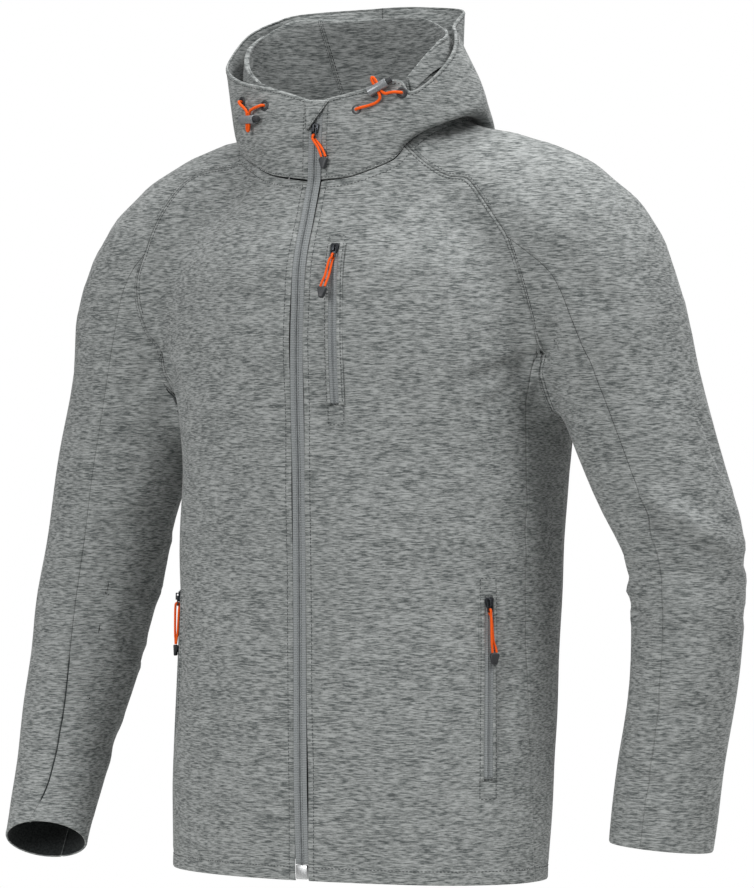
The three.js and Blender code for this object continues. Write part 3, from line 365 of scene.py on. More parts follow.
def fleece_lining_painted_shade():
    # Charcoal micro-fleece bonded inside the softshell, with short brushed fibres; its near-black tone is
    # partly painted shade, standing in for the shade inside the body and the cuff openings.
    finish, tree, shader = new_finish("charcoal_fleece_lining_painted_shade")
    around = add_node(tree, "ShaderNodeTexCoord").outputs["Object"]
    nap = add_node(tree, "ShaderNodeTexNoise", Vector=around, Scale=520.0, Detail=3.0).outputs[0]
    cover(tree, shader, ramp(tree, nap, [(0.35, "#232626"), (0.65, "#3a3e3e")]), nap, 0.5, 0.0004)
    set_shader(shader, Roughness=0.97, Sheen_Weight=0.1, Specular_IOR_Level=0.1)
    return finish


def ribbed_tape():
    # Woven polyester zip tape: tight crosswise picks give it a fine even ribbing and a flat dull grey.
    finish, tree, shader = new_finish("woven_zip_tape")
    place = add_node(tree, "ShaderNodeTexCoord").outputs["Object"]
    weave = add_node(tree, "ShaderNodeTexWave", {"bands_direction": "Z"}, Vector=place, Scale=190.0,
                     Distortion=0.6, Detail=1.0)
    grain = add_node(tree, "ShaderNodeTexNoise", Vector=place, Scale=900.0, Detail=1.0)
    mixed = add_node(tree, "ShaderNodeMath", {"operation": "MULTIPLY"}, i0=weave.outputs[1],
                     i1=grain.outputs[0])
    colour = ramp(tree, mixed.outputs[0], [(0.05, "#74787a"), (0.55, "#979b9b")])
    cover(tree, shader, colour, weave.outputs[1], 0.4, 0.0003)
    set_shader(shader, Roughness=0.8, Sheen_Weight=0.1)
    return finish


def speckled(name, dark, light, grain_mm, metallic, roughness, bump_strength):
    """A plain hard finish whose tone and gloss shift slightly with its grain."""
    finish, tree, shader = new_finish(name)
    place = add_node(tree, "ShaderNodeTexCoord").outputs["Object"]
    grain = add_node(tree, "ShaderNodeTexNoise", Vector=place, Scale=1000 / grain_mm, Detail=3.0)
    colour = ramp(tree, grain.outputs[0], [(0.3, dark), (0.7, light)])
    gloss = add_node(tree, "ShaderNodeMapRange", Value=grain.outputs[0], To_Min=roughness - 0.07,
                     To_Max=roughness + 0.08)
    tree.links.new(gloss.outputs[0], shader.inputs["Roughness"])
    cover(tree, shader, colour, grain.outputs[0], bump_strength, 0.0001)
    set_shader(shader, Metallic=metallic)
    return finish


def braided_cord():
    # Braided polyester cord: sixteen carriers laid over each other show as slanting plaits that catch light.
    finish, tree, shader = new_finish("braided_orange_cord")
    uv = add_node(tree, "ShaderNodeTexCoord").outputs["UV"]
    plaits = []
    for turn in (0.7, -0.7):
        lay = add_node(tree, "ShaderNodeMapping", Vector=uv, Rotation=(0, 0, turn), Scale=(46, 6, 1))
        plaits.append(add_node(tree, "ShaderNodeTexWave", Vector=lay.outputs[0], Scale=1.0).outputs[1])
    plait = add_node(tree, "ShaderNodeMath", {"operation": "MAXIMUM"}, i0=plaits[0], i1=plaits[1]).outputs[0]
    cover(tree, shader, ramp(tree, plait, [(0.2, "#d54805"), (0.8, "#f6600a")]), plait, 0.5, 0.0002)
    set_shader(shader, Roughness=0.7, Sheen_Weight=0.05, Specular_IOR_Level=0.25)
    return finish


HEATHER = heather_knit()
LINING_PAINTED_SHADE = fleece_lining_painted_shade()
TAPE = ribbed_tape()
# Spun polyester sewing thread, coloured far darker than the cloth: the dark is partly painted shade of the
# stitch holes and grooves, so a seam reads as a fine dark dashed line.
THREAD_PAINTED_SHADE = speckled("thread_with_painted_stitch_shade", "#383c3c", "#4c5050", 0.5, 0.0, 0.75, 0.3)
# Polyester monofilament coil, moulded smooth: small even highlights down the zip.
COIL = speckled("polyester_zip_coil", "#3e4244", "#7c8082", 0.9, 0.0, 0.42, 0.1)
# Zinc die casting with a black gunmetal plating: dark, with soft broad highlights.
GUNMETAL = speckled("gunmetal_plated_zinc", "#2c2e31", "#4b4e52", 1.2, 0.85, 0.38, 0.15)
# Nickel-plated zinc: the pale bright box at the zip's foot.
NICKEL = speckled("nickel_plated_zinc", "#b3b5b6", "#d5d6d6", 1.5, 0.9, 0.3, 0.1)
# Injection-moulded nylon, lightly spark-eroded: near-black with a dull satin skin.
NYLON = speckled("moulded_black_nylon", "#222426", "#37393c", 0.7, 0.0, 0.5, 0.35)
# Grey lacquered acetal barrel: a smooth satin skin with long highlights.
ACETAL = speckled("satin_grey_acetal", "#74777a", "#96999b", 1.0, 0.35, 0.36, 0.08)
ORANGE = braided_cord()

# Making pieces.


def finish_piece(piece, finish, body="jacket", nodes=()):
    piece.data.materials.clear()
    piece.data.materials.append(finish)
    if nodes:
        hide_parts(*nodes)
    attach(piece, body)
    return piece


def made_mesh(name, bm, smooth=True):
    """The mesh of a piece, once its shape is done."""
    for face in bm.faces:
        face.smooth = smooth
    mesh = bpy.data.meshes.new(name)
    bm.to_mesh(mesh)
    bm.free()
    return mesh


def new_piece(name, shape):
    piece = bpy.data.objects.new(name, shape)
    bpy.context.collection.objects.link(piece)
    return piece


def surface_facing(grid):
    across = np.empty_like(grid)
    across[:, 1:-1] = grid[:, 2:] - grid[:, :-2]
    across[:, 0], across[:, -1] = grid[:, 1] - grid[:, 0], grid[:, -1] - grid[:, -2]
    down = np.empty_like(grid)
    down[1:-1] = grid[2:] - grid[:-2]
    down[0], down[-1] = grid[1] - grid[0], grid[-1] - grid[-2]
    return unit(np.cross(across, down))


def sheet_mesh(name, grid, out):
    """A sheet of cloth through a grid of points, its faces towards out, with a UV map in metres of cloth."""
    rows, columns = grid.shape[:2]
    bm = bmesh.new()
    bmesh.ops.create_grid(bm, x_segments=columns - 1, y_segments=rows - 1, size=1)
    bm.verts.ensure_lookup_table()
    for vertex, place in zip(bm.verts, grid.reshape(-1, 3) * MM):
        vertex.co = place
    bm.normal_update()
    out = out.reshape(-1, 3)
    if sum(v.normal.dot(Vector(out[v.index])) for v in list(bm.verts)[::7]) < 0:
        bmesh.ops.reverse_faces(bm, faces=bm.faces)
    widths = np.linalg.norm(np.diff(grid, axis=1), axis=2)
    heights = np.linalg.norm(np.diff(grid, axis=0), axis=2)
    u = np.concatenate([np.zeros((rows, 1)), widths.cumsum(1)], 1)
    u -= u[:, columns // 2][:, None]
    v = np.concatenate([np.zeros((1, columns)), -heights.cumsum(0)], 0)
    v = np.repeat(v.mean(1)[:, None], columns, 1) * 0.5 + v * 0.5
    uv = np.stack([u, v], 2).reshape(-1, 2) * MM
    layer = bm.loops.layers.uv.new("cloth")
    for face in bm.faces:
        for loop in face.loops:
            loop[layer].uv = uv[loop.vert.index]
    return made_mesh(name, bm)


def thicken(piece, thickness, lined_with_painted_shade=False):
    """A wall behind a sheet's face; a wall with a lining shows its second finish inside, the near-black
    lining whose tone also paints the shade inside the jacket.
    """
    wall = piece.modifiers.new("wall", "SOLIDIFY")
    if lined_with_painted_shade:
        wall.material_offset = 1
    wall.thickness = thickness * MM
    wall.offset = -1.0
    wall.use_even_offset = False


def side_distances(grid):
    """How far each point of a grid lies from each of its sides, measured along the cloth."""
    across = np.linalg.norm(np.diff(grid, axis=1), axis=2).cumsum(1)
    across = np.concatenate([np.zeros((len(grid), 1)), across], 1)
    down = np.linalg.norm(np.diff(grid, axis=0), axis=2).cumsum(0)
    down = np.concatenate([np.zeros((1, grid.shape[1])), down], 0)
    return {"left": across, "right": across[:, -1:] - across, "top": down, "bottom": down[-1:] - down}


# Soft creases of the cloth: width, then x, y, z and depth down its line; a negative depth is a ridge.
CREASE_DEPTH = 1.9
CREASE_REACH = 3.5  # in widths of the crease, as the next two are
SWELL_PLACE = 1.9
SWELL_WIDTH = 0.8
SWELL_SHARE = 0.3
CREASES = [
    (7, [(313, -25, -342, 1.5), (321, -23, -348, 3.4), (331, -21, -356, 4), (344, -17, -365, 3.2),
         (361, -7, -377, 2.2), (378, 11, -389, 1)]),
    (10, [(324, -24, -332, -1), (344, -17, -344, -2.6), (363, -5, -358, -2.4), (380, 19, -375, -1)]),
    (6, [(291, -4, -395, 2.8), (308, -13, -402, 2.2), (324, -17, -407, 0.8)]),
    (7, [(285, 6, -418, -2.4), (309, -12, -424, -1.4)]),
    (5, [(289, 3, -440, 3), (307, -9, -447, 2.2), (322, -12, -455, 0.8)]),
    (17, [(322, -14, -384, 1), (346, -6, -399, 2.6), (372, 18, -404, 1.4)]),
    (7, [(350, 18, -249, 1), (359, 28, -283, 2), (368, 39, -314, 1)]),
    (7, [(-255, 63, -394, 3.2), (-265, 61, -413, 4.2), (-261, 39, -430, 2)]),
    (8, [(-251, 30, -389, -2), (-258, 19, -412, -2.4), (-264, 17, -437, -1)]),
    (6, [(-274, -3, -463, 1.2), (-270, 9, -479, 2.8), (-277, 44, -494, 2)]),
    (11, [(-234, 13, -335, 2), (-252, -1, -357, 1.8), (-275, -17, -370, 0.8)]),
    (7, [(233, -47, -175, 4), (223, -41, -187, 5), (217, -32, -202, 3)]),
    (9, [(206, -30, -204, 3), (184, -50, -215, 2.6), (159, -76, -223, 0.6)]),
    (7, [(200, -38, -222, 2.4), (178, -56, -243, 1.4), (160, -70, -258, 0.4)]),
    (8, [(233, -41, -195, 1.8), (258, -42, -206, 1.4), (283, -38, -214, 0.5)]),
    (9, [(-209, -40, -187, 1.2), (-196, -42, -202, 3), (-167, -70, -222, 2.6), (-153, -78, -242, 1)]),
    (12, [(-134, -95, -202, 1.8), (-97, -109, -214, 1.4), (-59, -117, -220, 0.4)]),
    (9, [(-220, -33, -212, 1.6), (-237, -33, -231, 1.3), (-256, -34, -244, 0.5)]),
    (13, [(187, -22, -465, 0.8), (182, -40, -511, 1.7), (178, -52, -562, 1.1)]),
    (14, [(157, -68, -334, 0.5), (173, -49, -353, 1.5), (185, -23, -362, 1.3)]),
    (14, [(-125, -91, -469, 1.2), (-92, -104, -525, 1.6), (-74, -109, -581, 0.8)]),
    (15, [(-141, -81, -355, 1.4), (-95, -103, -373, 1.3), (-56, -112, -384, 0.4)]),
    (12, [(165, -25, -7, 0.6), (208, -45, -42, 1.4), (239, -46, -61, 1)]),
    (13, [(245, -56, -112, 0.6), (272, -49, -140, 1.5), (297, -37, -159, 0.9)]),
    (10, [(302, -6, -519, 0.8), (334, -8, -529, 1.7), (361, 11, -533, 0.8)]),
    (9, [(289, -4, -584, 1.2), (319, -9, -597, 1.4), (347, 7, -599, 0.5)]),
    (10, [(-287, 13, -576, 1.4), (-282, -36, -585, 1.5), (-304, -62, -582, 0.6)]),
    # The back and the far sides, where cloth of this cut folds in the same way.
    (13, [(-124, 148, -322, 0.8), (-50, 166, -338, 2.4), (48, 166, -331, 2.8), (132, 146, -318, 0.9)]),
    (11, [(-96, 148, -416, 0.6), (-22, 156, -428, 1.9), (61, 150, -419, 1.2)]),
    (12, [(206, 92, -196, 3.2), (168, 128, -226, 2.3), (118, 152, -262, 0.7)]),
    (11, [(-206, 92, -196, 3.4), (-160, 132, -219, 2), (-104, 156, -247, 0.6)]),
    (15, [(-60, 118, -72, 0.5), (-18, 136, -102, 1.6), (44, 130, -94, 0.8)]),
    (12, [(94, 126, -520, 0.5), (128, 104, -566, 1.8), (148, 82, -622, 1)]),
    (13, [(-150, 90, -508, 0.7), (-122, 110, -560, 1.7), (-96, 110, -618, 0.8)]),
    (8, [(330, 94, -372, 0.8), (356, 84, -386, 2.6), (381, 52, -394, 1.2)]),
    (7, [(318, 94, -424, 1), (348, 88, -437, 2), (376, 60, -441, 0.8)]),
    (8, [(-318, 90, -388, 0.9), (-350, 78, -402, 2.4), (-376, 46, -412, 1)]),
    (7, [(-330, 80, -452, 1), (-356, 62, -470, 2.1), (-380, 28, -478, 0.9)]),
    (10, [(196, 20, -300, 0.8), (191, 40, -352, 1.9), (189, 30, -410, 0.9)]),
    (10, [(-196, 24, -290, 1), (-191, 36, -338, 1.6), (-189, 26, -392, 0.7)]),
]
# Slow uneven waves of the whole cloth: height, the wave's run along x, y and z, and where it starts.
RIPPLES = [
    (0.9, (0.031, 0.017, 0.011), 0.6), (0.7, (-0.019, 0.026, 0.024), 2.1),
    (0.6, (0.012, -0.033, 0.037), 4.0),
    (0.45, (0.053, 0.021, -0.029), 1.2), (0.35, (-0.041, 0.038, 0.052), 3.3),
]


LAID_STEP = 8  # mm along a crease's line


def laid_crease(knots):
    """A crease's line laid on the cloth's face, in short steps, with its depth at each."""
    knots = np.array(knots, float)
    reach = reach_along(knots[:, :3])
    row = at_marks(np.linspace(0, reach[-1], max(int(reach[-1] / LAID_STEP), 2) + 1), reach, knots)
    return np.concatenate([settle(row[:, :3]), row[:, 3:]], 1)


LAID_CREASES = [(width, laid_crease(knots)) for width, knots in CREASES]


def relief(points):
    """How far the cloth stands proud of its plain form, in mm: each trough has a low swell beside it."""
    flat = points.reshape(-1, 3)
    height = np.zeros(len(flat))
    for size, wave, phase in RIPPLES:
        height += size * np.sin(flat @ np.array(wave) + phase)
    for width, knots in LAID_CREASES:
        low = knots[:, :3].min(0) - CREASE_REACH * width
        high = knots[:, :3].max(0) + CREASE_REACH * width
        close = np.flatnonzero(((flat > low) & (flat < high)).all(1))
        near = flat[close]
        best, depth = np.full(len(near), np.inf), np.zeros(len(near))
        for a, b in zip(knots[:-1], knots[1:]):
            run = b[:3] - a[:3]
            t = np.clip(((near - a[:3]) @ run) / (run @ run), 0, 1)
            away = np.linalg.norm(near - a[:3] - t[:, None] * run, axis=1)
            closer = away < best
            best = np.where(closer, away, best)
            depth = np.where(closer, a[3] + (b[3] - a[3]) * t, depth)
        share = best / width
        swell = SWELL_SHARE * np.exp(-(((share - SWELL_PLACE) / SWELL_WIDTH) ** 2))
        height[close] -= CREASE_DEPTH * depth * (np.exp(-(share ** 2)) - swell)
    return height.reshape(points.shape[:-1])


DEEPEST = -9  # no crease goes further in than this
SEAM_DIP = 0.8
SEAM_DIP_WIDTH = 0.9
STITCH_DIP = 0.6
STITCH_DIP_WIDTH = 0.8
SEAM_PUFF = 0.3
PUFF_LIMIT = 5  # the cloth puffs only between a seam and a row of stitches this near to it
STITCH = {"pitch": 3.5, "length": 2.6, "width": 0.85, "height": 0.55}


def sewn(grid, out, stitched, soft=True):
    """The cloth with its seams drawn in; stitched gives each side's rows of stitches by their distance."""
    shape = np.maximum(relief(grid), DEEPEST) if soft else np.zeros(grid.shape[:2])
    for side, away in side_distances(grid).items():
        if side not in stitched:
            continue
        shape = shape - SEAM_DIP * np.exp(-((away / SEAM_DIP_WIDTH) ** 2))
        crosswise = side in ("top", "bottom")
        part = np.linspace(0, 1, shape.shape[1 if crosswise else 0])
        for row, start, stop in stitched[side]:
            sewn_here = ((part >= start) & (part <= stop)).astype(float)
            sewn_here = sewn_here[None] if crosswise else sewn_here[:, None]
            puff = SEAM_PUFF * np.sin(np.pi * np.clip(away / row, 0, 1)) ** 2 if row < PUFF_LIMIT else 0
            dip = STITCH_DIP * np.exp(-(((away - row) / STITCH_DIP_WIDTH) ** 2))
            shape = shape + sewn_here * (puff - dip)
    return grid + out * shape[..., None]


def stitch_line(grid, out, side, distance, start=0, stop=1):
    """Places and facings along a side of a grid, at a distance from it."""
    away = side_distances(grid)[side]
    if side in ("top", "bottom"):
        away, grid, out = away.T, grid.transpose(1, 0, 2), out.transpose(1, 0, 2)
    if side in ("right", "bottom"):
        away, grid, out = away[:, ::-1], grid[:, ::-1], out[:, ::-1]
    places, ways = [], []
    first, last = start * (len(grid) - 1), stop * (len(grid) - 1)
    for i, (row, points, normals) in enumerate(zip(away, grid, out)):
        if row[-1] < 2 * distance or not first <= i <= last:
            continue
        k = int(np.searchsorted(row, distance))
        t = (distance - row[k - 1]) / (row[k] - row[k - 1])
        places.append(points[k - 1] * (1 - t) + points[k] * t)
        ways.append(normals[k - 1] * (1 - t) + normals[k] * t)
    return np.array(places), unit(np.array(ways))


def evenly(points, pitch, *others):
    """A line at an even pitch, with the other rows that go with its points."""
    reach = reach_along(points)
    marks = np.linspace(0, reach[-1], max(int(reach[-1] / pitch), 1) + 1)
    return [at_marks(marks, reach, rows) for rows in (points, *others)]


def scattered(name, base, places, along, out, sizes):
    """Copies of one small base shape, each turned along its line and scaled."""
    across = unit(np.cross(out, along))
    raised = unit(np.cross(along, across))
    turns = np.stack([along * sizes[0], across * sizes[1], raised * sizes[2]], 2)
    corners = np.array([v.co[:] for v in base.verts])
    faces = np.array([[v.index for v in f.verts] for f in base.faces])
    points = np.einsum("nij,vj->nvi", turns, corners) + places[:, None]
    first = np.arange(len(places)) * len(corners)
    joined = (faces[None] + first[:, None, None]).reshape(-1, faces.shape[1])
    mesh = bpy.data.meshes.new(name)
    mesh.from_pydata((points.reshape(-1, 3) * MM).tolist(), [], joined.tolist())
    mesh.polygons.foreach_set("use_smooth", [True] * len(mesh.polygons))
    mesh.update()
    return new_piece(name, mesh)


def bead():
    bm = bmesh.new()
    bmesh.ops.create_icosphere(bm, subdivisions=1, radius=0.5)
    bm.verts.index_update()
    return bm


BEAD = bead()
THREAD_PROUD = 0.2
threads = {"places": [], "along": [], "out": []}


def sew(points, normals, pitch=STITCH["pitch"]):
    """Stitches along a line of places, left for one piece of thread at the end."""
    if len(points) < 2:
        return
    places, ways = evenly(points, pitch, normals)
    middles = (places[:-1] + places[1:]) / 2
    ways = unit(ways[:-1] + ways[1:])
    threads["places"].append(middles + ways * THREAD_PROUD)
    threads["along"].append(unit(places[1:] - places[:-1]))
    threads["out"].append(ways)


def cloth_piece(name, grid, out, stitched, soft=True, thickness=CLOTH):
    """A panel of cloth; stitched gives each side's rows by distance, or by distance, start and stop."""
    stitched = {side: [row if isinstance(row, tuple) else (row, 0, 1) for row in rows]
                for side, rows in stitched.items()}
    grid = sewn(grid, out, stitched, soft)
    piece = new_piece(f"{name}_cloth", sheet_mesh(f"{name}_cloth", grid, out))
    # Body and sleeve walls show the near-black lining inside, which also paints the shade in the cuff
    # openings; the hood and chin guard stay heather inside.
    lined_with_painted_shade = not name.startswith(("hood", "chin"))
    thicken(piece, thickness, lined_with_painted_shade=lined_with_painted_shade)
    finish_piece(piece, HEATHER, nodes=(name,))
    if lined_with_painted_shade:
        piece.data.materials.append(LINING_PAINTED_SHADE)
    for side, rows in stitched.items():
        for row in rows:
            sew(*stitch_line(grid, out, side, *row))
    return grid


# The panels.

FINE = 5  # rows or columns of the sheet for each one of the solid
NEAR = (0.5, 1.1, 1.8, 2.6, 3.3, 4.1, 5.2, 6.4, 7.4, 8.6)  # extra ones beside a seam, in mm
SIDE_ROWS = 23  # pieces down a panel's outer edge
RAGLAN_SHARE = 8 / SIDE_ROWS  # how much of that edge is armhole
CAP_SHARE = 5 / SIDE_ROWS
CLOSEST = 0.08  # two places nearer than this part of a piece are taken as one
LINE_STEPS = 12
# Rows of stitches, by their distance from the seam or the edge.
ZIP_ROW = 6.5
SEAM_ROW = 3.3
NECK_ROW = 7.4
HEM_ROW = 13
HOOD_FOOT_ROW = 2.6
HOOD_TOP_ROW = 6.4
RIM_ROW = 4.1
FOLD_ROW = 2.2


def spread(pieces, size, start=False, end=False):
    """Places along a run of so many pieces, with extra ones close to its ends."""
    places = list(np.linspace(0, pieces, pieces * FINE + 1))
    near = [n * pieces / size for n in NEAR]
    first = min(near[-1], 1.0) + CLOSEST
    if start:
        places = [0] + near + [p for p in places if p > first]
    if end:
        places = [p for p in places if p < pieces - first] + [pieces - n for n in near[::-1]] + [pieces]
    return np.array(places)


def stretch(points, start, stop, shares):
    """Points of one stretch of a line, at shares of its length."""
    dense = smooth_row(points, np.linspace(start, stop, int(LINE_STEPS * (stop - start)) + 1))
    reach = reach_along(dense)
    points = at_marks(np.asarray(shares) * reach[-1], reach, dense)
    moved = settle(points) - points
    # A lone point that slid along the armpit's hollow goes back between its neighbours.
    moved[1:-1] = np.median(np.stack([moved[:-2], moved[1:-1], moved[2:]]), axis=0)
    return settle(points + moved)


def line(points, shares):
    return stretch(points, 0, len(points) - 1, shares)


def neck_point(place):
    return settle(smooth_row(HOOD[:, :3], place))


def patch(left, right, top, bottom, u, v):
    """The points of a panel between four seams, laid on the cloth."""
    u, v = u[None, :, None], v[:, None, None]
    grid = left[:, None] * (1 - u) + right[:, None] * u + top[None] * (1 - v) + bottom[None] * v
    corners = (top[0] * (1 - u) + top[-1] * u) * (1 - v) + (bottom[0] * (1 - u) + bottom[-1] * u) * v
    grid = grid - corners
    grid[1:-1, 1:-1] = settle(grid[1:-1, 1:-1])
    grid[:, 0], grid[:, -1] = left, right
    grid[0], grid[-1] = top, bottom
    return grid


def guided_patch(left, middle, right, top, bottom, u, v):
    """The points of a panel that also follows a line down its middle."""
    half = int(np.argmin(np.abs(u - 0.5)))
    first = patch(left, middle, top[:half + 1], bottom[:half + 1], u[:half + 1] * 2, v)
    second = patch(middle, right, top[half:], bottom[half:], u[half:] * 2 - 1, v)
    return np.concatenate([first, second[:, 1:]], 1)


def outwards(middle, direction, limit):
    """The outermost places of the cloth from middle points in given directions."""
    inside, outside = np.zeros(len(direction)), np.full(len(direction), float(limit))
    for _ in range(OUTER_HALVINGS):
        reach = (inside + outside) / 2
        within = field(middle + direction * reach[:, None]) < 0
        inside, outside = np.where(within, reach, inside), np.where(within, outside, reach)
    return middle + direction * inside[:, None]


def hem_points(angles):
    """The hem's edge: 0 degrees is the wearer's left, 90 the back."""
    turn = np.radians(angles)
    ways = np.stack([np.cos(turn), np.sin(turn), np.zeros(len(turn))], 1)
    return outwards(np.array([0.0, 0, HEM_HEIGHT]), ways, BEYOND)


CUFF_REACH = 75  # further than the cuff's edge from the arm's axis, and short of the body


def cuff_points(side, angles):
    """The cuff's edge: 0 degrees is the outside of the arm, 90 the back."""
    axis = ARM_AXES[0 if side == "left" else 1]
    i = 1
    while i < len(axis) - 2 and axis[i + 1][2] > CUFF_HEIGHT[side]:
        i += 1
    run = (axis[i + 1] - axis[i])[:3]
    middle = axis[i][:3] + run * (CUFF_HEIGHT[side] - axis[i][2]) / run[2]
    along = unit(run)
    sign = 1 if side == "left" else -1
    outer = unit(np.array([sign, 0, 0]) - along * along[0] * sign)
    back = np.array([0.0, 1, 0]) - along * along[1]
    back = unit(back - outer * outer[1])
    turn = np.radians(angles)[:, None]
    return outwards(middle, outer * np.cos(turn) + back * np.sin(turn), CUFF_REACH)


def parted(grid):
    """The panel drawn in by half a seam gap all round."""
    grid = grid.copy()
    grid[:, 0] += unit(grid[:, 1] - grid[:, 0]) * SEAM_GAP
    grid[:, -1] += unit(grid[:, -2] - grid[:, -1]) * SEAM_GAP
    grid[0] += unit(grid[1] - grid[0]) * SEAM_GAP
    grid[-1] += unit(grid[-2] - grid[-1]) * SEAM_GAP
    return grid


def body_panel(name, grid, stitched):
    grid = parted(grid)
    cloth_piece(name, grid, facing(grid), stitched)


def neck_places(k, size):
    """One panel's run of the neck seam: shares of its own width, and places counted round the neck."""
    run = spread(NECK_PIECES[k], size, True, True) / NECK_PIECES[k]
    return run, NECK_STOPS[k] + (NECK_STOPS[k + 1] - NECK_STOPS[k]) * run


ARMHOLE_ENDS = [(True, False), (True, False), (True, True), (False, True), (False, True)]
ARMHOLE_SIZES = [165, 110, 115, 100, 160]
FRONT_NECK_SIZE = 100
BACK_NECK_SIZE = 190
SIDE_SEAM_SIZE = 430
SLEEVE_SEAM_SIZE = 560
ZIP_EDGE_HEIGHTS = np.array([-60, -110, -200, -350, -520])


def body_side(side):
    """The front, side and sleeve panels of one side; returns the back panel's edge on that side."""
    left = side == "left"
    sign = 1 if left else -1
    flip = np.array([sign, 1, 1])
    runs = [spread(n, size, *ends) for n, size, ends in zip(ARMHOLE_PIECES, ARMHOLE_SIZES, ARMHOLE_ENDS)]
    arcs = [stretch(ARMHOLE[side], start, stop, run / n)
            for start, stop, run, n in zip(ARMHOLE_STOPS, ARMHOLE_STOPS[1:], runs, ARMHOLE_PIECES)]
    u, places = neck_places(0 if left else 4, FRONT_NECK_SIZE)
    front_neck = neck_point(places) if left else neck_point(places)[::-1]
    u = u if left else 1 - u[::-1]
    u_sleeve, places = neck_places(1 if left else 3, FRONT_NECK_SIZE)
    sleeve_neck = neck_point(places) if left else neck_point(places)[::-1]
    u_sleeve = u_sleeve if left else 1 - u_sleeve[::-1]
    arcs[0][0] = front_neck[-1]
    arcs[4][-1] = sleeve_neck[-1]

    zip_edge = on_front(ZIP_HALF * sign, HEM_HEIGHT)[0]
    zip_angle = math.degrees(math.atan2(zip_edge[1], ZIP_HALF))

    def hem_run(start, stop, shares):
        angles = start + (stop - start) * shares
        return hem_points(angles if left else 180 - angles)

    hem = hem_run(zip_angle, HEM_FRONT_ANGLE, u)
    side_run = spread(SIDE_PIECES, SIDE_SEAM_SIZE, True, True)
    side_shares = side_run / SIDE_PIECES
    rows = np.concatenate([runs[0], 5 + runs[1][1:], 8 + side_run[1:]]) / SIDE_ROWS
    centre = on_front(np.full(5, ZIP_HALF * sign), ZIP_EDGE_HEIGHTS)
    middle = line(np.concatenate([front_neck[:1], centre, hem[:1]]), rows)
    side_front = line(np.concatenate([arcs[1][-1:], SIDE_FRONT * flip, hem[-1:]]), side_shares)
    edge = np.concatenate([arcs[0], arcs[1][1:], side_front[1:]])
    body_panel(f"front_{side}", patch(middle, edge, front_neck, hem, u, rows),
               {"left": (ZIP_ROW,), "right": ((SEAM_ROW, 0, RAGLAN_SHARE),), "top": (NECK_ROW,),
                "bottom": (HEM_ROW,)})

    u_side = runs[2] / 4
    side_hem = hem_run(HEM_FRONT_ANGLE, HEM_BACK_ANGLE, u_side)
    side_back = line(np.concatenate([arcs[3][:1], SIDE_BACK * flip, side_hem[-1:]]), side_shares)
    body_panel(f"side_{side}", patch(side_front, side_back, arcs[2], side_hem, u_side, side_shares),
               {"left": (), "right": (), "top": (SEAM_ROW,), "bottom": (HEM_ROW,)})

    sleeve_run = spread(SLEEVE_PIECES, SLEEVE_SEAM_SIZE, False, True)
    seams, guides = SLEEVE_SEAMS[side], SLEEVE_GUIDES[side]
    cuff = {angle: cuff_points(side, np.array([float(angle)])) for angle in (-90, 0, 90, 180)}
    front = line(np.concatenate([arcs[0][-1:], seams["front"], cuff[-90]]), sleeve_run / SLEEVE_PIECES)
    back = line(np.concatenate([arcs[4][:1], seams["back"], cuff[90]]), sleeve_run / SLEEVE_PIECES)
    upper_run = np.concatenate([runs[0], 5 + sleeve_run[1:]])
    back_run = np.concatenate([5 - runs[4][::-1], 5 + sleeve_run[1:]])
    outer_front = np.concatenate([arcs[0], front[1:]])
    outer_back = np.concatenate([arcs[4][::-1], back[1:]])
    outer_back = at_marks(upper_run, back_run, outer_back)
    peak = sleeve_neck[int(np.argmin(np.abs(u_sleeve - 0.5)))]
    upper_shares = upper_run / SIDE_ROWS
    outer = line(np.concatenate([[peak], guides["outer"], cuff[0]]), upper_shares)
    upper_cuff = cuff_points(side, -90 + 180 * u_sleeve)
    body_panel(f"sleeve_upper_{side}",
               guided_patch(outer_front, outer, outer_back, sleeve_neck, upper_cuff, u_sleeve, upper_shares),
               {"left": ((SEAM_ROW, 0, CAP_SHARE),), "right": ((SEAM_ROW, 0, CAP_SHARE),),
                "top": (NECK_ROW,), "bottom": ()})
    under = np.concatenate([arcs[1], arcs[2][1:], arcs[3][1:]])
    u_under = np.concatenate([runs[1], 3 + runs[2][1:], 7 + runs[3][1:]]) / 10
    start_run = spread(SLEEVE_PIECES, SLEEVE_SEAM_SIZE, True, True) / SLEEVE_PIECES
    front = line(np.concatenate([arcs[0][-1:], seams["front"], cuff[-90]]), start_run)
    back = line(np.concatenate([arcs[4][:1], seams["back"], cuff[90]]), start_run)
    pit = under[int(np.argmin(np.abs(u_under - 0.5)))]
    inner = line(np.concatenate([[pit], guides["inner"], cuff[180]]), start_run)
    under_cuff = cuff_points(side, -90 - 180 * u_under)
    body_panel(f"sleeve_under_{side}",
               guided_patch(front, inner, back, under, under_cuff, u_under, start_run),
               {"left": (), "right": (), "top": (SEAM_ROW,), "bottom": ()})
    back_rows = np.concatenate([5 - runs[4][::-1], 8 - runs[3][::-1][1:], 8 + side_run[1:]])
    return np.concatenate([arcs[4][::-1], arcs[3][::-1][1:], side_back[1:]]), back_rows / SIDE_ROWS


left_edge, back_rows = body_side("left")
right_edge, _ = body_side("right")
u_back, places = neck_places(2, BACK_NECK_SIZE)
hem_back = hem_points(HEM_BACK_ANGLE + (180 - 2 * HEM_BACK_ANGLE) * u_back)
back_grid = patch(left_edge, right_edge, neck_point(places), hem_back, u_back, back_rows)
body_panel("back", back_grid, {
    "left": ((SEAM_ROW, 0, RAGLAN_SHARE),), "right": ((SEAM_ROW, 0, RAGLAN_SHARE),),
    "top": (NECK_ROW,), "bottom": (HEM_ROW,)})


# The hood.

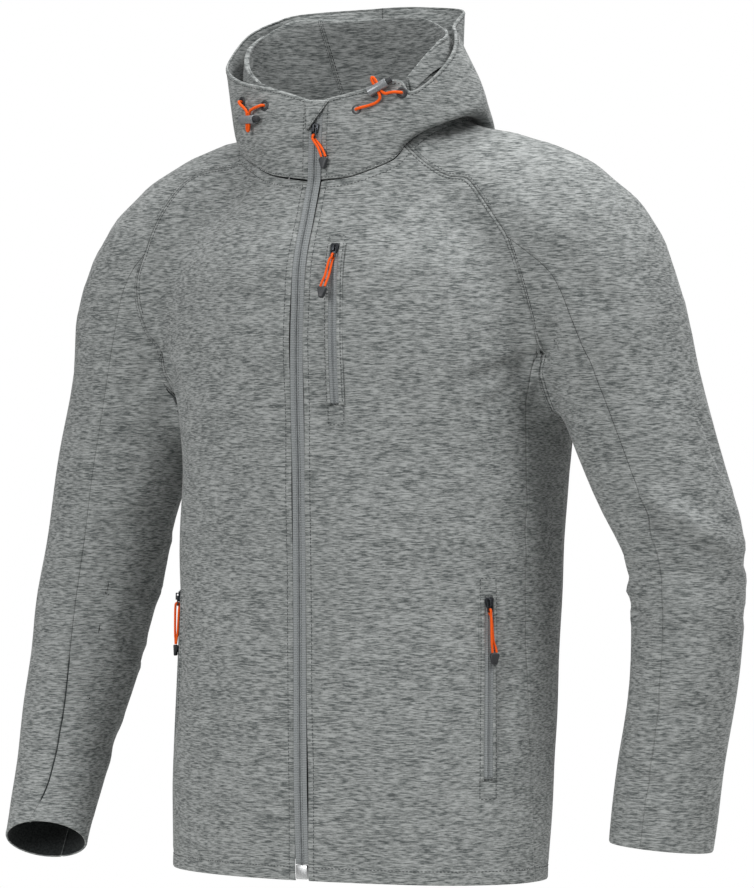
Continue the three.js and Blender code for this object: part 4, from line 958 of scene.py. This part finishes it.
def hood_point(place, rise):
    """The hood's outer wall: place counts round the neck, rise from the neck seam 0 to the rim 3."""
    place, rise = np.broadcast_arrays(np.asarray(place, float), np.asarray(rise, float))
    shape = place.shape
    place, rise = place.ravel(), rise.ravel()
    foot = neck_point(place)
    row = smooth_row(HOOD, place)
    knots = np.stack([foot, row[:, 3:6], row[:, 6:9], row[:, 9:12]], 1)
    p = between_knots(knots, rise)
    short = np.maximum(HOOD_CLEARANCE * np.minimum(rise, 1) - field(p), 0)
    return (p + facing(p) * short[:, None]).reshape(*shape, 3)


def fold_point(place, rise):
    """The hood's inner fold at the nape: rise goes from the neck seam 0 over the ridge 2 to the lip 4."""
    foot = neck_point(place)
    inward = unit(np.stack([-foot[:, 0], -foot[:, 1] - 10, np.zeros(len(foot))], 1))
    start = foot + inward * FOLD_FOOT_IN + np.array([0, 0, 1.2])
    row = smooth_row(FOLD, place - FOLD_START)
    ridge, lip = row[:, :3], row[:, 3:]
    half = (start + ridge) / 2 - inward * 3
    over = ridge * 0.55 + lip * 0.45 + np.array([0, 0, 6])
    knots = np.stack([start, half, ridge, over, lip], 1)
    return between_knots(knots, rise)


HOOD_ROWS = 62
HOOD_STEPS = 88
HOOD_SIZE = 420  # mm round one half of the hood
HOOD_STAGE = 85  # mm of cloth to each stage of rise
HOOD_MIDDLE = np.array([0, 0, 40.0])
FOLD_MIDDLE = np.array([0, 0, 60.0])
FOLD_ROWS = 60


def seam_places(start, stop, count, first, last, size):
    """Places of one half of the hood, with extra ones beside the seam where its halves meet."""
    places = np.linspace(start, stop, count + 1)
    near = np.array([0.0, *NEAR]) * abs(stop - start) / size
    if first:
        places = np.concatenate([start + near * np.sign(stop - start), places[4:]])
    if last:
        places = np.concatenate([places[:-4], (stop - near * np.sign(stop - start))[::-1]])
    return places


near_rise = np.array([0.0, *NEAR]) / HOOD_STAGE
hood_rises = np.concatenate([near_rise, np.linspace(0, 3, HOOD_ROWS)[3:-4], 3 - near_rise[::-1]])
for side, run, stitched in (
        ("left", seam_places(0, HOOD_SEAM, HOOD_STEPS, True, True, HOOD_SIZE),
         {"left": (ZIP_ROW,), "right": (HOOD_FOOT_ROW, HOOD_TOP_ROW)}),
        ("right", seam_places(HOOD_SEAM, NECK_STOPS[-1], HOOD_STEPS, True, True, HOOD_SIZE),
         {"right": (ZIP_ROW,), "left": (HOOD_FOOT_ROW,)})):
    grid = hood_point(run[None, :], hood_rises[:, None])
    out = surface_facing(grid)
    if dots(out[:, 5], grid[:, 5] - HOOD_MIDDLE).sum() < 0:
        out = -out
    cloth_piece(f"hood_side_{side}", grid, out, {**stitched, "top": (HOOD_FOOT_ROW,), "bottom": (RIM_ROW,)})

fold_rises = np.concatenate([[0, 0.02], np.linspace(0, 4, FOLD_ROWS)[1:-1], [3.97, 4]])
seam_place = FOLD_END + (FOLD_START - FOLD_END) * FOLD_SEAM_PIECE / FOLD_PIECES
for side, run, stitched in (
        ("right", seam_places(FOLD_END, seam_place, 60, False, True, 260), {"right": (FOLD_ROW,)}),
        ("left", seam_places(seam_place, FOLD_START, 70, True, False, 300), {"left": (FOLD_ROW,)})):
    place, rise = np.meshgrid(run, fold_rises)
    grid = fold_point(place.ravel(), rise.ravel()).reshape(*place.shape, 3)
    out = surface_facing(grid)
    if dots(out[10], FOLD_MIDDLE - grid[10]).sum() < 0:
        out = -out
    cloth_piece(f"hood_fold_{side}", grid, out, stitched)

# Zips.

TAPE_THICKNESS = 1.2
FOLDED_THICKNESS = 0.7  # the pocket zips' strips and welts
TAPE_SET_BACK = 0.5
ZIP_FOOT = HEM_HEIGHT + 15.5
ZIP_TOP = 38
TAPE_ROWS = 180
AHEAD = np.array([0.0, -1, 0])
COLLAR_EDGE = np.array([[-88.5, -33.5], [-88, -14], [-86, 14], [-82, 43]])


def zip_front(z):
    """How far back, in y, the jacket's front edge stands at given heights."""
    z = np.atleast_1d(np.asarray(z, float))
    low = on_front(np.zeros(len(z)), np.minimum(z, COLLAR_EDGE[0, 1]))[:, 1]
    return np.where(z < COLLAR_EDGE[0, 1], low, np.interp(z, COLLAR_EDGE[:, 1], COLLAR_EDGE[:, 0]))


def tape_piece(name, grid, out, thickness, nodes):
    piece = new_piece(name, sheet_mesh(name, grid, out))
    thicken(piece, thickness)
    finish_piece(piece, TAPE, nodes=nodes)


def beads_along(name, points, normals, pitch, sizes, finish, crosswise=True):
    """A row of small moulded turns along a line, such as a zip's coil."""
    places, ways = evenly(points, pitch, normals)
    along = unit(np.gradient(places, axis=0))
    lay = unit(np.cross(ways, along)) if crosswise else along
    finish_piece(scattered(name, BEAD, places, lay, ways, sizes), finish)


# Across a tape from the middle of the zip outwards: place, and how far the weave stands proud there.
TAPE_SECTION = [(0.05, -0.5), (0.3, 0.1), (1.1, 0.35), (1.9, 0.25), (2.3, -0.15), (3.2, -0.25), (4.6, -0.2),
                (5.4, 0.0), (6.3, 0.0), (6.85, 0.0)]
tape_heights = np.linspace(ZIP_FOOT, ZIP_TOP, TAPE_ROWS)
tape_fronts = zip_front(tape_heights)


def down_the_zip(sideways, proud):
    """A line down the main zip, at a distance from its middle and proud of the tape's back."""
    return np.stack([np.full(TAPE_ROWS, sideways), tape_fronts + TAPE_SET_BACK - proud, tape_heights], 1)


for side, sign in (("left", 1), ("right", -1)):
    grid = np.stack([down_the_zip(sign * place, proud) for place, proud in TAPE_SECTION], 1)
    out = np.broadcast_to(AHEAD, grid.shape)
    tape_piece(f"zip_tape_{side}_weave", grid, out, TAPE_THICKNESS * 0.7, (f"zip_tape_{side}",))
    beads_along(f"zip_coil_{side}", down_the_zip(sign * 0.75, 0.2), out[:, 0], 1.5, (1.5, 1.0, 0.9), COIL)
    # The tape's stitches use the darkened thread, whose dark is partly painted shade.
    beads_along(f"zip_tape_stitching_{side}", down_the_zip(sign * 2.15, 0.1), out[:, 0], 2.6,
                (2.0, 0.5, 0.4), THREAD_PAINTED_SHADE, crosswise=False)

POCKET_ZIPS = {
    "chest": {"upper": (37, -96), "lower": (41, -244), "lift": 1.4, "cap": 9, "foot": 20},
    "hand_left": {"upper": (169, -425), "lower": (172, -593), "lift": 0.8, "cap": 18, "foot": 19},
    "hand_right": {"upper": (-169, -425), "lower": (-172, -593), "lift": 0.8, "cap": 18, "foot": 19},
}
POCKET_ROWS = 60
POCKET_BORDER = 8  # half the width of the stitched box round a pocket zip
BOX_POINTS = 40
ON_CLOTH = 0.1  # how far a stitch lies above the cloth


def strip_points(pocket, share, sideways, lift):
    """Places over a panel along a pocket zip; sideways is across it, in mm."""
    share, sideways = np.broadcast_arrays(np.asarray(share, float), np.asarray(sideways, float))
    shape = share.shape
    (x, z), (x_low, z_low) = pocket["upper"], pocket["lower"]
    middle = on_front(x + (x_low - x) * share.ravel(), z + (z_low - z) * share.ravel())
    across = unit(np.cross(np.array([0.0, 0, 1]), facing(middle)))
    place = settle(middle + across * sideways.ravel()[:, None])
    ways = facing(place)
    lift = np.broadcast_to(np.asarray(lift, float), shape).ravel()
    return (place + ways * lift[:, None]).reshape(*shape, 3), ways.reshape(*shape, 3)


def section_points(pocket, section, sign, shares):
    """A grid along a pocket zip: section gives places across it and how far each stands proud."""
    across, share = np.meshgrid([place * sign for place, _ in section], shares)
    proud = np.broadcast_to([height for _, height in section], across.shape)
    return strip_points(pocket, share, across, pocket["lift"] + proud)


STRIP_SECTION = [(-5.5, 0.0), (-4.2, 0.0), (-2.4, -0.1), (-1.9, 0.3), (-1.0, 0.45), (-0.12, 0.15), (0, -0.3),
                 (0.12, 0.15), (1.0, 0.45), (1.9, 0.3), (2.4, -0.1), (4.2, 0.0), (5.5, 0.0)]
# A welt: a narrow folded lip of the panel's cloth along each side of the pocket zip.
WELT_SECTION = [(4.3, 0.35), (4.6, 0.75), (5.4, 0.95), (6.6, 0.75), (7.8, 0.1), (8.8, -0.7), (9.6, -1.3)]
for name, pocket in POCKET_ZIPS.items():
    span = pocket["upper"][1] - pocket["lower"][1]
    shares = np.linspace(0, 1, POCKET_ROWS)
    grid, out = section_points(pocket, STRIP_SECTION, 1, shares)
    tape_piece(f"{name}_zip_weave", grid, out, FOLDED_THICKNESS, (f"{name}_zip",))
    for end, sign in (("a", -1), ("b", 1)):
        row, ways = strip_points(pocket, shares, 0.85 * sign, pocket["lift"] + 0.45)
        beads_along(f"{name}_coil_{end}", row, ways, 1.6, (1.5, 1.0, 0.7), COIL)
        grid, out = section_points(pocket, WELT_SECTION, sign, np.linspace(-0.01, 1.01, POCKET_ROWS))
        piece = new_piece(f"{name}_welt_{end}", sheet_mesh(f"{name}_welt_{sign}", grid, out))
        thicken(piece, FOLDED_THICKNESS)
        finish_piece(piece, HEATHER)
    top, foot = -pocket["cap"] / span, 1 + pocket["foot"] / span
    half = POCKET_BORDER
    loop = [(-half, top), (half, top), (half, foot), (-half, foot), (-half, top)]
    for (a, start), (b, stop) in zip(loop[:-1], loop[1:]):
        t = np.linspace(0, 1, BOX_POINTS)
        share = start + (stop - start) * t
        beside_zip = (a == b) & (share > 0) & (share < 1)
        lift = np.where(beside_zip, pocket["lift"] + ON_CLOTH, ON_CLOTH)
        sew(*strip_points(pocket, share, a + (b - a) * t, lift))
    for end in (-1.5 / span, 1 + 1.5 / span):
        sew(*strip_points(pocket, end, np.linspace(-7, 7, 8), 0.2), STITCH["length"])

# The chin guard: a flap of cloth from the wearer's right edge over the top of the zip.
GUARD = {"bottom_left": (-10.5, 15), "bottom_right": (-6, 14.5),
         "top_left": (-14, 43), "top_right": (15, 42.5)}
GUARD_OFF = {"seam": 1.9, "edge": 4.2}
GUARD_THICKNESS = 1.4
rows, columns = np.meshgrid(np.linspace(0, 1, 30), np.linspace(0, 1, 24), indexing="ij")
corner = {key: np.array(value, float) for key, value in GUARD.items()}
left = corner["bottom_left"] + (corner["top_left"] - corner["bottom_left"]) * rows[..., None]
right = corner["bottom_right"] + (corner["top_right"] - corner["bottom_right"]) * rows[..., None]
flat = left + (right - left) * columns[..., None]
off = GUARD_OFF["seam"] + (GUARD_OFF["edge"] - GUARD_OFF["seam"]) * (
    np.minimum(columns * 2, 1) * np.minimum(1.4 - rows, 1))
fronts = zip_front(flat[..., 1].ravel()).reshape(rows.shape)
guard_grid = np.stack([flat[..., 0], fronts - off, flat[..., 1]], 2)[::-1]
cloth_piece("chin_guard", guard_grid, np.broadcast_to(AHEAD, guard_grid.shape),
            {"right": (2.2,), "left": (1.5,), "top": ()}, soft=False, thickness=GUARD_THICKNESS)


# Hard pieces: the solids' own shapes with their edges broken.

FLAT_WITHIN = math.radians(2)
SHARP_FROM = math.radians(32)


def dressed(node, finish, body, edge, segments=2, foot=1.0):
    """A copy of a node's mesh, merged, narrowed to its foot and with its sharp edges rounded."""
    bm = bmesh.new()
    bm.from_mesh(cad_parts[node].data)
    bmesh.ops.remove_doubles(bm, verts=bm.verts, dist=1e-6)
    bmesh.ops.dissolve_limit(bm, angle_limit=FLAT_WITHIN, verts=bm.verts, edges=bm.edges)
    middle = sum((v.co for v in bm.verts), Vector()) / len(bm.verts)
    for v in bm.verts:
        if v.co.z < middle.z:
            v.co.x = middle.x + (v.co.x - middle.x) * foot
    sharp = [e for e in bm.edges if len(e.link_faces) == 2 and e.calc_face_angle(0) > SHARP_FROM]
    if sharp:
        bmesh.ops.bevel(bm, geom=sharp, offset=edge * MM, offset_type="OFFSET", segments=segments,
                        profile=0.5, affect="EDGES", material=-1, clamp_overlap=True)
    name = f"{node}_piece"
    finish_piece(new_piece(name, made_mesh(name, bm)), finish, body, (node,))


dressed("zip_bottom_box", NICKEL, "jacket", 0.5)
for pull in ("main", "chest", "hand_left", "hand_right"):
    dressed(f"{pull}_slider", GUNMETAL, "jacket", 0.25)
    dressed(f"{pull}_tab", GUNMETAL, f"{pull}_pull", 0.22)
    dressed(f"{pull}_pull_end", NYLON, f"{pull}_pull", 0.9, 3, 0.5)
for side in ("left", "right"):
    dressed(f"cord_stopper_{side}", ACETAL, "jacket", 0.3)
    dressed(f"cord_stopper_button_{side}", NYLON, f"stopper_button_{side}", 0.4, 3)


# Eyelets and cords.

def frame_at(place, up, out):
    out = unit(np.asarray(out, float))
    up = unit(np.asarray(up, float) - out * np.dot(up, out))
    return np.asarray(place, float), np.cross(up, out), up, out


def in_frame(where, points):
    place, across, up, out = where
    points = np.asarray(points, float)
    return place + points[:, :1] * across + points[:, 1:2] * up + points[:, 2:] * out


EYELETS = {"left_front": (1.05, 2.4), "left_back": (2.3, 2.6), "right_front": (15.8, 2.45),
           "right_back": (15.05, 2.4)}
EYELET_PROFILE = [(2.5, 0.2), (5.1, 0.2), (5.3, 0.7), (4.9, 1.2), (4.1, 1.55), (3.2, 1.55), (2.7, 1.2)]
# A dark disc fills each eyelet's hole: painted shade where the hole opens onto the hood cloth.
EYELET_SHADE_DISC = {"radius": 2.7, "height": 0.4}
for name, (place, rise) in EYELETS.items():
    near = hood_point([place, place, place, place + 0.1, place - 0.1],
                      [rise, rise + 0.1, rise - 0.1, rise, rise])
    up, along = near[1] - near[2], near[3] - near[4]
    where = frame_at(near[0], up, np.cross(along, up))
    bm = bmesh.new()
    profile = [bm.verts.new((radius, 0, height)) for radius, height in EYELET_PROFILE]
    ring = [bm.edges.new((a, b)) for a, b in zip(profile, profile[1:] + profile[:1])]
    bmesh.ops.spin(bm, geom=profile + ring, cent=(0, 0, 0), axis=(0, 0, 1), angle=math.tau, steps=36,
                   use_merge=True)
    # The hole's floor: a black nylon disc of painted shade.
    bmesh.ops.create_circle(bm, cap_ends=True, segments=24, radius=EYELET_SHADE_DISC["radius"],
                            matrix=Matrix.Translation((0, 0, EYELET_SHADE_DISC["height"])))
    bmesh.ops.recalc_face_normals(bm, faces=bm.faces)
    turn = Matrix([[*row, place] for row, place in zip(np.stack(where[1:], 1).tolist(), where[0].tolist())]
                  + [[0, 0, 0, 1]])
    bmesh.ops.transform(bm, matrix=Matrix.Scale(MM, 4) @ turn, verts=bm.verts)
    node = f"eyelet_{name}"
    finish_piece(new_piece(f"{node}_piece", made_mesh(f"{node}_piece", bm)), NYLON,
                 nodes=(node,))


def centripetal(points, count):
    """A centripetal Catmull-Rom curve through points."""
    points = np.asarray(points, float)
    points = np.concatenate([2 * points[:1] - points[1:2], points, 2 * points[-1:] - points[-2:-1]])
    result = []
    for k in np.linspace(0, len(points) - 3 - 1e-6, count):
        i, t = int(k), k - int(k)
        p0, p1, p2, p3 = points[i:i + 4]
        d1, d2, d3 = (max(np.linalg.norm(b - a) ** 0.5, 1e-4) for a, b in ((p0, p1), (p1, p2), (p2, p3)))
        start = ((p1 - p0) / d1 - (p2 - p0) / (d1 + d2) + (p2 - p1) / d2) * d2
        end = ((p2 - p1) / d2 - (p3 - p1) / (d2 + d3) + (p3 - p2) / d3) * d2
        rise = p2 - p1
        result.append(p1 + t * (start + t * (3 * rise - 2 * start - end + t * (start + end - 2 * rise))))
    return np.array(result)


PULL_CORD_RADIUS = 1.15
DRAWCORD_RADIUS = 1.4
CORD_POINTS = 90


def cord_piece(name, node, points, radius, body):
    route = centripetal(points, CORD_POINTS)
    curve = bpy.data.curves.new(name, "CURVE")
    curve.dimensions = "3D"
    curve.bevel_depth = radius * MM
    curve.bevel_resolution = 3
    curve.use_fill_caps = True
    spline = curve.splines.new("POLY")
    spline.points.add(len(route) - 1)
    for knot, place in zip(spline.points, route * MM):
        knot.co = (*place, 1)
    piece = finish_piece(new_piece(name, curve), ORANGE, body, (node,))
    round(reach_along(route)[-1] * MM, 4)


def pull_route(drop, lean):
    """A pull's loop of cord: up from its grip, through the tab and back, leaning sideways as it hangs."""
    return [
        [lean - 2.2, -drop, 3.6], [0.8 * lean - 1.9, 5 - drop, 4], [0.55 * lean - 1.4, 10 - drop, 4.5],
        [0.2 * lean - 0.7, -12, 5], [0, -9.4, 5], [0, -7.7, 4.95], [0, -6.3, 4.3], [0, -5.8, 2.95],
        [0, -6.3, 1.6], [0, -7.7, 1.25], [0, -9.4, 1.25], [0.2 * lean + 0.7, -12, 1.5],
        [0.55 * lean + 1.4, 10 - drop, 2.4], [0.8 * lean + 1.9, 5 - drop, 3], [lean + 2.2, -drop, 3.6]]


MAIN_SLIDER_HEIGHT = 15
MAIN_PULL_FOOT = -20
SLIDER_SHARE = 0.03
fronts = zip_front([MAIN_SLIDER_HEIGHT, MAIN_PULL_FOOT])
main_fall = np.array([0, fronts[0] - fronts[1], MAIN_SLIDER_HEIGHT - MAIN_PULL_FOOT])
pull_frames = {"main": frame_at([0, fronts[0] + TAPE_SET_BACK, MAIN_SLIDER_HEIGHT], main_fall,
                                np.cross(main_fall, [-1, 0, 0]))}
for name, pocket in POCKET_ZIPS.items():
    near, ways = strip_points(pocket, [SLIDER_SHARE, 0, 0.2], 0, pocket["lift"])
    pull_frames[name] = frame_at(near[0], near[1] - near[2], ways[0])
PULLS = {"main": (27, 12), "chest": (38, -6), "hand_left": (46, 4), "hand_right": (46, -4)}
for name, (drop, lean) in PULLS.items():
    cord_piece(f"{name}_pull_loop", f"{name}_pull_cord", in_frame(pull_frames[name], pull_route(drop, lean)),
               PULL_CORD_RADIUS, f"{name}_pull")

DRAWCORDS = {
    "left": {
        "place": [66.8, -80.9, 53], "along": [0.82, 0.3, 0.49], "out": [0.344, -0.939, 0],
        "route": [[-29.8, -7.4, -4.8], [-29.8, -7.2, -1.7], [-24.5, -8.6, -0.2], [-17, -10.6, -0.4],
                  [-10, -11.6, -0.4], [-5.4, -10.4, 0], [-3.5, -7, 0], [-3.4, 0, 0], [-3.4, 6, 0],
                  [-3.2, 9, 0],
                  [-1.8, 10.8, 0], [-0.5, 9, 0], [-0.3, 6, 0], [-0.3, 0, 0], [-0.2, -5, 0], [1.8, -8.6, 0],
                  [6, -10, -0.4], [10.5, -12, -0.6], [15, -15.1, -1.2], [15.1, -15.2, -4.6]]},
    "right": {
        "place": [-75.2, -82.5, 26.9], "along": [0.95, -0.32, 0], "out": [-0.32, -0.95, 0],
        "route": [[-16.9, 18.1, -4.9], [-17, 18, -1.5], [-13.8, 15.6, -0.2], [-9, 12.4, 0], [-5.2, 9.4, 0],
                  [-3.6, 6.4, 0], [-3.4, 0, 0], [-3.4, -6, 0], [-3.2, -9, 0], [-1.8, -10.8, 0], [-0.5, -9, 0],
                  [-0.3, -6, 0], [-0.3, 0, 0], [-0.2, 5, 0], [1.6, 8.4, 0], [5.4, 10.2, -0.4],
                  [9.6, 11.6, -1.2],
                  [14.6, 12.9, -2.8], [14.7, 12.9, -6.3]]},
}
for side, made in DRAWCORDS.items():
    out = unit(np.array(made["out"]))
    across = unit(np.array(made["along"]) - out * np.dot(made["along"], out))
    where = (np.array(made["place"]), across, np.cross(out, across), out)
    cord_piece(f"drawcord_{side}_braid", f"drawcord_{side}", in_frame(where, made["route"]),
               DRAWCORD_RADIUS, "jacket")

thread = scattered("seam_threads", BEAD, np.concatenate(threads["places"]), np.concatenate(threads["along"]),
                   np.concatenate(threads["out"]), (STITCH["length"], STITCH["width"], STITCH["height"]))
# The stitches take the darkened thread finish, partly painted shade of the stitch holes.
finish_piece(thread, THREAD_PAINTED_SHADE)

# Floor, light and camera.

AIM = Vector((0.0133, 0.0077, -0.282))
DISTANCE = 4.3
LENS = 181.6
AZIMUTH = math.radians(30)
FLOOR_HEIGHT = -0.86
FLOOR_RADIUS = 1.05

bm = bmesh.new()
bmesh.ops.create_circle(bm, cap_ends=True, segments=64, radius=FLOOR_RADIUS,
                        matrix=Matrix.Translation((0, 0, FLOOR_HEIGHT)))
floor = new_piece("floor", made_mesh("floor", bm, smooth=False))
floor.data.materials.append(speckled("pale_painted_floor", "#dddddb", "#e4e4e2", 40, 0.0, 0.8, 0.02))

towards = Vector((math.sin(AZIMUTH), -math.cos(AZIMUTH), 0))
rightwards = Vector((math.cos(AZIMUTH), math.sin(AZIMUTH), 0))


def placed(item, place):
    """Puts a camera or a lamp in its place, turned to the middle of the jacket."""
    item.location = place
    item.rotation_euler = (AIM - item.location).to_track_quat("-Z", "Y").to_euler()


camera = new_piece("camera", bpy.data.cameras.new("camera"))
placed(camera, AIM + towards * DISTANCE)
camera.data.lens = LENS
camera.data.clip_end = 50
bpy.context.scene.camera = camera


def lamp(name, right, near, up, power, size):
    """A softbox placed right of, nearer than and above the middle of the jacket, as the camera sees it."""
    light = bpy.data.lights.new(name, "AREA")
    light.energy = power
    light.size = size
    placed(new_piece(name, light), AIM + rightwards * right + towards * near + Vector((0, 0, up)))


lamp("key_softbox", 1.5, 1.3, 2.3, 52, 0.9)
lamp("fill_softbox", -1.9, 2.3, 1.0, 50, 1.3)
lamp("top_softbox", 0.2, -0.2, 2.6, 44, 1.4)
world = bpy.data.worlds.new("studio")
world.use_nodes = True
tree = world.node_tree
rays = add_node(tree, "ShaderNodeLightPath")
strength = add_node(tree, "ShaderNodeMapRange", Value=rays.outputs["Is Camera Ray"], To_Min=0.3, To_Max=1.0)
background = tree.nodes["Background"]
background.inputs["Color"].default_value = (1, 1, 1, 1)
tree.links.new(strength.outputs[0], background.inputs["Strength"])
bpy.context.scene.world = world
bpy.context.scene.view_settings.view_transform = "Standard"
